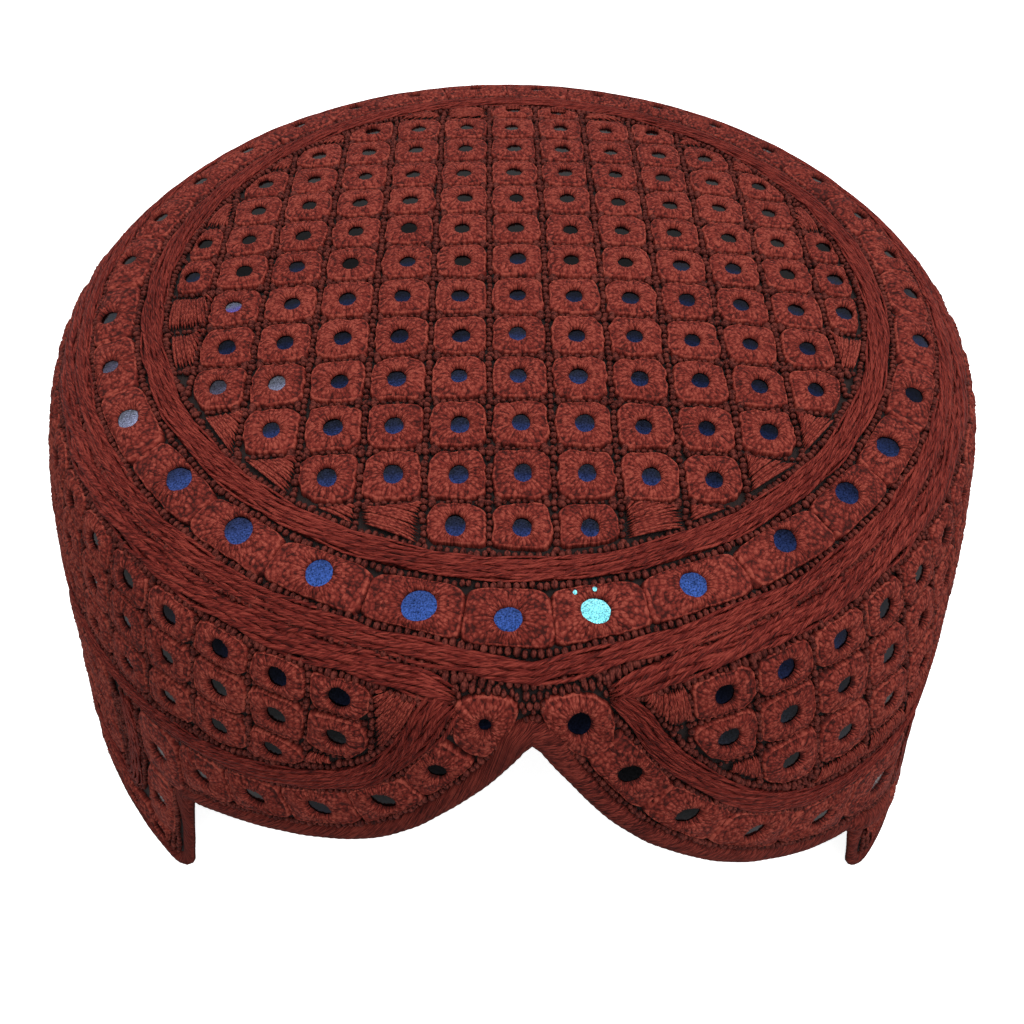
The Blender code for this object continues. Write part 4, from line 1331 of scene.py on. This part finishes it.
wideBand = {
    "strands": 15,
    "sides": 5,
    "width": 0.0036,
    "height": 0.00040,
    "lift": -0.00062,
    "wander": 0.00040,
    "thickness": 0.00026,
    "weave": 0.021,
    "slant": 0.30,
    # the core's tone is painted shade where it shows between the strands
    "core": {"drop": 0.0004, "height": 0.0006, "tone": 0.32},
    "fan": 0.0,    # how much wider the band is where it ends beside the left of the cusp
    "loop": True,
}
narrowBand = dict(wideBand, strands=10, width=0.0024)
wideOpen = dict(wideBand, loop=False)
narrowOpen = dict(narrowBand, loop=False)

for name, key, dip, look, replaced in (
        ("crownInnerBand", "innerBandRadius", 0, wideBand, "crown_inner_band"),
        ("crownEdgeBand", "edgeRadius", 1, narrowBand, "crown_edge_band")):
    radius = crownLayout[key]
    layBand(name, circleLine(radius, 0.0022, dip), circlePlace(radius), look, replaced)
layBand("sideUpperBand", upperBandLine, sidePlace, narrowOpen, "side_upper_band")
layBand("sideLowerBand", lowerBandLine, sidePlace, dict(wideOpen, fan=0.7), "side_lower_band")


def backBandLine(layout):
    inset = backInsets(layout)[0]
    bottom = hemDepth - inset
    halves = {}
    for side in (1, -1):
        knee = (sideEdge(side, 0.0) + inset, notchDepth(side))
        corner = (sideEdge(side, hemDepth) + inset, bottom)
        halves[side] = [(knee[0], belowLowerBand(side, layout)), knee]
        halves[side] += fillet(knee, corner, (corner[0] + 0.05, bottom), layout["bandCornerRound"], 6)
    left = [(fullTurn - u, v) for u, v in reversed(halves[-1])]
    return evenly(np.array(halves[1] + left), 0.0020)


layBand("backBand", backBandLine(sideLayout), sidePlace, dict(wideOpen, strands=10), "back_band")
print("bands laid")


# Knots along the valleys and beside the bands
beadShape = {
    "sides": 6,
    "cut": -0.28,
}
beadPattern = modelBead(beadShape)


def layBeads(heap, line, place, look, loop=False):
    marks = evenly(np.asarray(line, float), look["pitch"])
    if loop:
        marks = marks[:-1]
    normals = normalsOf(marks)
    x, y, z = beadPattern["points"].T
    n = len(marks)
    size = look["least"] + (look["most"] - look["least"]) * random.random((n, 1))
    slide = jitter(look["pitch"], n, 1) * look["slide"]
    off = jitter(look["width"], n, 1) * look["stray"]
    turn = jitter(look["turn"], n, 1)
    alongPart = (x * np.cos(turn) - y * np.sin(turn)) * look["length"] * size + slide
    acrossPart = (x * np.sin(turn) + y * np.cos(turn)) * look["width"] * size + off
    lift = look["lift"] + z * look["height"] * size + jitter(0.00012, n, 1)
    u = marks[:, :1] - normals[:, 1:] * alongPart + normals[:, :1] * acrossPart
    v = marks[:, 1:] + normals[:, :1] * alongPart + normals[:, 1:] * acrossPart
    # painted light and shade: each bead lighter on top and darker at its foot, plus random tone
    shade = 0.42 + z * 0.5 + jitter(0.25, n, 1)
    seed = random.random((n, 1)) * 100
    thread = np.stack([x * look["width"] + seed * seedShift[0], y * look["length"] + seed * seedShift[1],
                       0 * shade], axis=-1)
    faces = [[i + k * len(z) for i in face] for k in range(n) for face in beadPattern["faces"]]
    heap.add(place(u, v, lift), faces, 0, np.clip(shade, 0, 1).ravel(), thread.reshape(-1, 3))


beadLook = {
    "pitch": 0.00118,
    "length": 0.00112,
    "width": 0.00125,
    "height": 0.00110,
    "lift": -0.00085,
    "least": 0.80,    # its size, as a share of the sizes above
    "most": 1.20,
    "slide": 0.25,    # how far it strays along and across its row, in pitches and widths
    "stray": 0.34,
    "turn": 0.5,
}
smallBead = dict(beadLook, pitch=0.00108, length=0.00095, width=0.00080, height=0.0008, lift=-0.00088)
barBead = dict(beadLook, pitch=0.00113, length=0.00106, width=0.00142, height=0.0011, lift=-0.00080)
backBead = dict(beadLook, pitch=0.00142, length=0.00134)
roundBead = dict(beadLook, width=0.00135, length=0.00118, height=0.0012)
cuspBead = dict(beadLook, width=0.00112, length=0.00108)


def layCrownBeads(layout):
    heap = Heap()
    pitch = layout["pitch"]
    limit = layout["fieldRadius"] - 0.0004
    for k in range(-6, 6):
        across = (k + 0.5) * pitch
        reach = math.sqrt(limit ** 2 - across ** 2)
        layBeads(heap, [(across, -reach), (across, reach)], crownPlace, beadLook)
    for k in range(-6, 7):
        y = (k + 0.5) * pitch + layout["shift"]
        if abs(y) >= limit:
            continue
        reach = math.sqrt(limit ** 2 - y ** 2)
        layBeads(heap, [(-reach, y), (reach, y)], crownPlace, smallBead)
        for c in range(-6, 6):
            x = (c + 0.5) * pitch
            if math.hypot(abs(x) + 0.0012, y) > limit:
                continue
            for offset in (-0.00125, 0.00125):
                spot = [(x + offset, y - 0.0005), (x + offset, y + 0.0006)]
                layBeads(heap, spot, crownPlace, dict(beadLook, pitch=0.0011))
    for radius, dip, width in ((layout["fieldRadius"] + 0.0005, 0, barBead["width"]),
                               (layout["innerBandRadius"] + 0.0027, 0, barBead["width"]),
                               (layout["edgeRadius"] - 0.0017, 0.85, barBead["width"]),
                               (layout["edgeRadius"] + 0.0015, 1, 0.00115)):
        layBeads(heap, circleLine(radius, 0.0012, dip), circlePlace(radius), dict(barBead, width=width),
                 loop=True)
    finishPiece("crownKnots", heap, [knotThread], None, merge=False)


layCrownBeads(crownLayout)


def laySideBeads(layout):
    heap = Heap()
    away = layout["band"] / 2 + 0.0006
    under = moved(upperBandLine, -0.0018)
    layBeads(heap, under[(under[:, 0] > 0.016) & (under[:, 0] < fullTurn - 0.016)], sidePlace, roundBead)
    layBeads(heap, moved(upperBandLine, 0.0018), sidePlace, roundBead)
    layBeads(heap, moved(lowerBandLine, away), sidePlace, roundBead)
    layBeads(heap, moved(lowerBandLine, -away), sidePlace, barBead)
    inside = evenly(moved(hem, layout["bindingWidth"] + 0.0004, True), 0.0006)
    layBeads(heap, inside, sidePlace, beadLook)
    for side in (1, -1):   # the corners between the first cells and the bands
        for line in ([(0.0106, 0.0116), (0.0146, 0.0150)], [(0.0126, 0.0120), (0.0142, 0.0134)],
                     [(0.0056, 0.0116), (0.0120, 0.0109)], [(0.0034, 0.0119), (0.0122, 0.0117)]):
            layBeads(heap, [(side * u, v) for u, v in line], sidePlace, cuspBead)
    # Two small gaps on the lobes
    for line in ([(-0.0128, 0.0168), (-0.0122, 0.0182), (-0.0136, 0.0186)],
                 [(0.0438, 0.0401), (0.0484, 0.0400)], [(0.0450, 0.0411), (0.0480, 0.0409)]):
        layBeads(heap, line, sidePlace, cuspBead)
    for depth, reach in ((0.0123, 0.0024), (0.0133, 0.0018), (0.0143, 0.0014), (0.0153, 0.0009)):
        line = [(u, depth - 4.0 * u * u) for u in np.linspace(-reach, reach, 12)]
        layBeads(heap, line, sidePlace, cuspBead)
    floor = moved(lowerBandLine, layout["band"] / 2 + 0.0012)
    for azimuth in columnEdges(layout):
        u = float(alongSide(azimuth))
        bottom = float(np.interp(u, floor[:, 0], floor[:, 1]))
        if bottom > layout["rows"][0] + 0.002:
            layBeads(heap, [(u, layout["rows"][0]), (u, bottom)], sidePlace, beadLook)
    lastColumn = columnEdges(layout)[-1]
    for row in range(1, len(layout["rows"]) - 1):
        inField = [a for a in np.linspace(13, lastColumn, 1200)
                   if np.interp(float(alongSide(a)), floor[:, 0], floor[:, 1]) > rowDepth(a, row)]
        for run in np.split(np.array(inField), np.where(np.diff(inField) > 0.5)[0] + 1):
            if len(run) > 12:
                line = np.column_stack([alongSide(run), [rowDepth(a, row) for a in run]])
                layBeads(heap, line, sidePlace, smallBead)
    finishPiece("sideKnots", heap, [knotThread], None, merge=False)


laySideBeads(sideLayout)


def layBackBeads(layout):
    heap = Heap()
    band = backBandLine(layout)
    away = layout["band"] / 2 + 0.0006
    layBeads(heap, moved(band, away), sidePlace, backBead)
    layBeads(heap, moved(band, -away), sidePlace, backBead)
    start, bottom = backFieldEnds(layout)
    for k in range(layout["backColumns"] + 1):
        u = start + (fullTurn - 2 * start) * k / layout["backColumns"]
        layBeads(heap, [(u, backFieldDepth(u, 0, layout)), (u, bottom)], sidePlace, backBead)
    across = np.linspace(start, fullTurn - start, 400)
    for row in range(1, layout["backRows"]):
        layBeads(heap, np.column_stack([across, backFieldDepth(across, row, layout)]), sidePlace, smallBead)
    # the gaps between the upright bands, the fields and the right lobe's hem
    runOn = np.array(layout["runOn"])
    gaps = []
    for shift in (0.0013, 0.0026):
        depths = np.linspace(float(backFieldDepth(start, 0, layout)), bottom, 60)
        upright = np.column_stack([np.full(60, start - shift), depths])
        gaps += [upright, upright * (-1, 1) + (fullTurn, 0)]
    for step in range(1, 6):
        beside = moved(band[band[:, 0] < 0.100], -away - 0.0013 * step)
        gaps.append(beside[(beside[:, 0] > 0.0759) & (beside[:, 0] < 0.0805)
                           & (beside[:, 1] < np.interp(beside[:, 0], *runOn.T) - 0.0038)])
    runOn = evenly(runOn, 0.0006)
    for distance, first, last in ((-0.0007, 0.0694, 0.0803), (-0.0019, 0.0776, 0.0803),
                                  (0.0044, 0.0640, 0.0786), (0.0056, 0.0705, 0.0770),
                                  (0.0068, 0.0738, 0.0768)):
        beside = moved(runOn, distance)
        layBeads(heap, beside[(runOn[:, 0] > first) & (runOn[:, 0] < last)], sidePlace, backBead)
    for side, first in ((1, 0.0800), (-1, 0.0640)):
        edgeLine = [(side * (sideEdge(side, v) + 0.0031), v) for v in np.linspace(first, 0.0886, 12)]
        end = belowLowerBand(side, layout) - 0.0006
        for line in (edgeLine, [(side * 0.0776, end), (side * 0.0812, end)]):
            layBeads(heap, np.array(line) + (0 if side > 0 else fullTurn, 0), sidePlace, backBead)
    for line in gaps:
        clear = [p for p in line if np.hypot(*(band - p).T).min() > away + 0.0010]
        if len(clear) > 1:
            layBeads(heap, clear, sidePlace, backBead)
    finishPiece("backKnots", heap, [knotThread], None, merge=False)


layBackBeads(sideLayout)
print("knots laid")


# Hem binding: a rolled edge
bindingShape = {
    "sides": 12,
    "radius": 0.00205,
    "flatten": 0.78,
    "across": 0.0020,
    "sideShare": 0.62,    # how wide it is down the side pieces' edges
    "peak": 0.48,         # how much wider it is at the cusp
    "lift": -0.0019,
    "ripple": 0.00004,
    "ripplePitch": 0.0016,
    "tightness": 1.3,     # how close its turns of thread lie
    "runOnLift": 0.0017,    # how high the run-on lies over the side piece, and how deep its ends sink
    "runOnSink": 0.0003,
    "sideStart": (0.0640, 0.0660),    # where it grows narrow beyond the lobes, and where it ends to
    "sideEnd": (0.0880, 0.0940),
}


def layRunOn(heap, course, shape):
    # the right lobe's rolled edge lies over the side piece, and sinks into it at its end
    line = evenly(np.array(course), 0.0008)
    pattern = modelStrand(shape["sides"], len(line) - 1)
    station = pattern["station"]
    around = pattern["around"]
    t = np.linspace(0, 1, len(line))
    radius = (shape["radius"] * np.minimum(1, 6 * t * (1 - t)) ** 0.5)[station]
    over = shape["runOnLift"] * ease(t, 0.10, 0.32) * (1 - ease(t, 0.55, 0.95)) - shape["runOnSink"]
    lift = shape["lift"] + over[station] + np.sin(around) * radius * shape["flatten"]
    thread = threadMap(lengthsOf(line)[station] * shape["tightness"] + 0.5, around * radius)
    across = shape["across"] + np.cos(around) * radius
    layTube(heap, sidePlace, line, normalsOf(line), pattern, across, lift, np.full(len(station), 0.5), thread)


def layBinding(line, shape):
    half = len(line) // 2
    line = np.vstack([line[half:-1] - (fullTurn, 0), line[:half + 1]])   # closes at the back
    pattern = modelStrand(shape["sides"], len(line) - 1)
    station = pattern["station"]
    around = pattern["around"]
    lengths = lengthsOf(line)
    waves = round(lengths[-1] / shape["ripplePitch"])
    t = lengths[station] / lengths[-1]
    ripple = np.sin(2 * math.pi * waves * t + 0.8 * np.sin(around)) * shape["ripple"]
    ripple += periodicDrift(t, 0.00007, (31, 57, 83))
    folded = np.abs(line[:, 0])
    narrow = ease(folded, *shape["sideStart"]) * (1 - ease(line[:, 1], *shape["sideEnd"]))
    peak = shape["peak"] * np.exp(-(folded / 0.0030) ** 2)
    width = (1 - (1 - shape["sideShare"]) * narrow + peak)[station]
    radius = (shape["radius"] + ripple) * width
    normals = normalsOf(line, True)
    across = shape["across"] * width + np.cos(around) * radius
    turning = np.unwrap(np.arctan2(normals[:, 1], normals[:, 0]))[station]
    course = (lengths[station] + across * turning) * shape["tightness"]   # longer on the outside of a bend
    lift = shape["lift"] + np.sin(around) * radius * shape["flatten"]
    thread = threadMap(course, around * radius)
    heap = Heap()
    # painted light and shade: the binding's tone follows its ripple, lighter on each turn's ridge, darker
    # between turns
    layTube(heap, sidePlace, line, normals, pattern, across, lift, 0.5 + ripple * 1500, thread)
    layRunOn(heap, sideLayout["runOn"], shape)
    finishPiece("hemBinding", heap, [bindingThread], "hem_binding")


layBinding(hem, bindingShape)

# the panels under the stitches take the same near-black cloth, partly painted shade
for name in ("crown_panel", "side_panel"):
    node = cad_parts[name]
    node.data.materials.clear()
    node.data.materials.append(groundClothAndShade)
print("hem and panels done")


# Floor and light
studio = {
    "floor": (0.93, 0.93, 0.93),
    "bounce": (0.42, 0.42, 0.42),
    "white": 0.85,
    "worldTop": 1.0,
    "worldSide": 0.62,
    "key": {"place": (0.35, -0.30, 0.80), "size": 0.5, "power": 3.2},
    "top": {"place": (-0.10, 0.20, 0.90), "size": 0.8, "power": 2.4},
}


def addFloor(setup):
    deselectAll()
    bpy.ops.mesh.primitive_plane_add(size=6.0)
    floor = bpy.context.object
    floor.name = "floor"
    material, tree, shader = newMaterial("paleFloor", {"Roughness": 0.9, "Emission Color": (1, 1, 1, 1)})
    seen = addNode(tree, "LightPath").outputs["Is Camera Ray"]
    colour = mixColour(tree, seen, (*setup["bounce"], 1), (*setup["floor"], 1))
    feed(tree, shader.inputs["Base Color"], colour)
    feed(tree, shader.inputs["Emission Strength"], mathNode(tree, "MULTIPLY", seen, setup["white"]))
    floor.data.materials.append(material)


def addWorld(setup):
    world = bpy.data.worlds.new("studio")
    world.use_nodes = True
    tree = world.node_tree
    place = addNode(tree, "TexCoord").outputs["Generated"]
    up = addNode(tree, "SeparateXYZ", {0: place}).outputs["Z"]
    height = mathNode(tree, "MAXIMUM", up, 0.0)
    side = setup["worldSide"]
    background = tree.nodes["Background"]
    strength = mathNode(tree, "MULTIPLY_ADD", height, setup["worldTop"] - side, side)
    feed(tree, background.inputs["Strength"], strength)
    background.inputs["Color"].default_value = (1, 1, 1, 1)
    bpy.context.scene.world = world


def addLights(setup):
    for name in ("key", "top"):
        light = setup[name]
        turn = (Vector((0, 0, 0.06)) - Vector(light["place"])).to_track_quat("-Z", "Y").to_euler()
        bpy.ops.object.light_add(type="AREA", location=light["place"], rotation=turn)
        bpy.context.object.name = name + "Light"
        setAll(bpy.context.object.data, size=light["size"], energy=light["power"])


addFloor(studio)
addWorld(studio)
addLights(studio)
bpy.context.scene.view_settings.view_transform = "Standard"

bpy.context.view_layer.update()
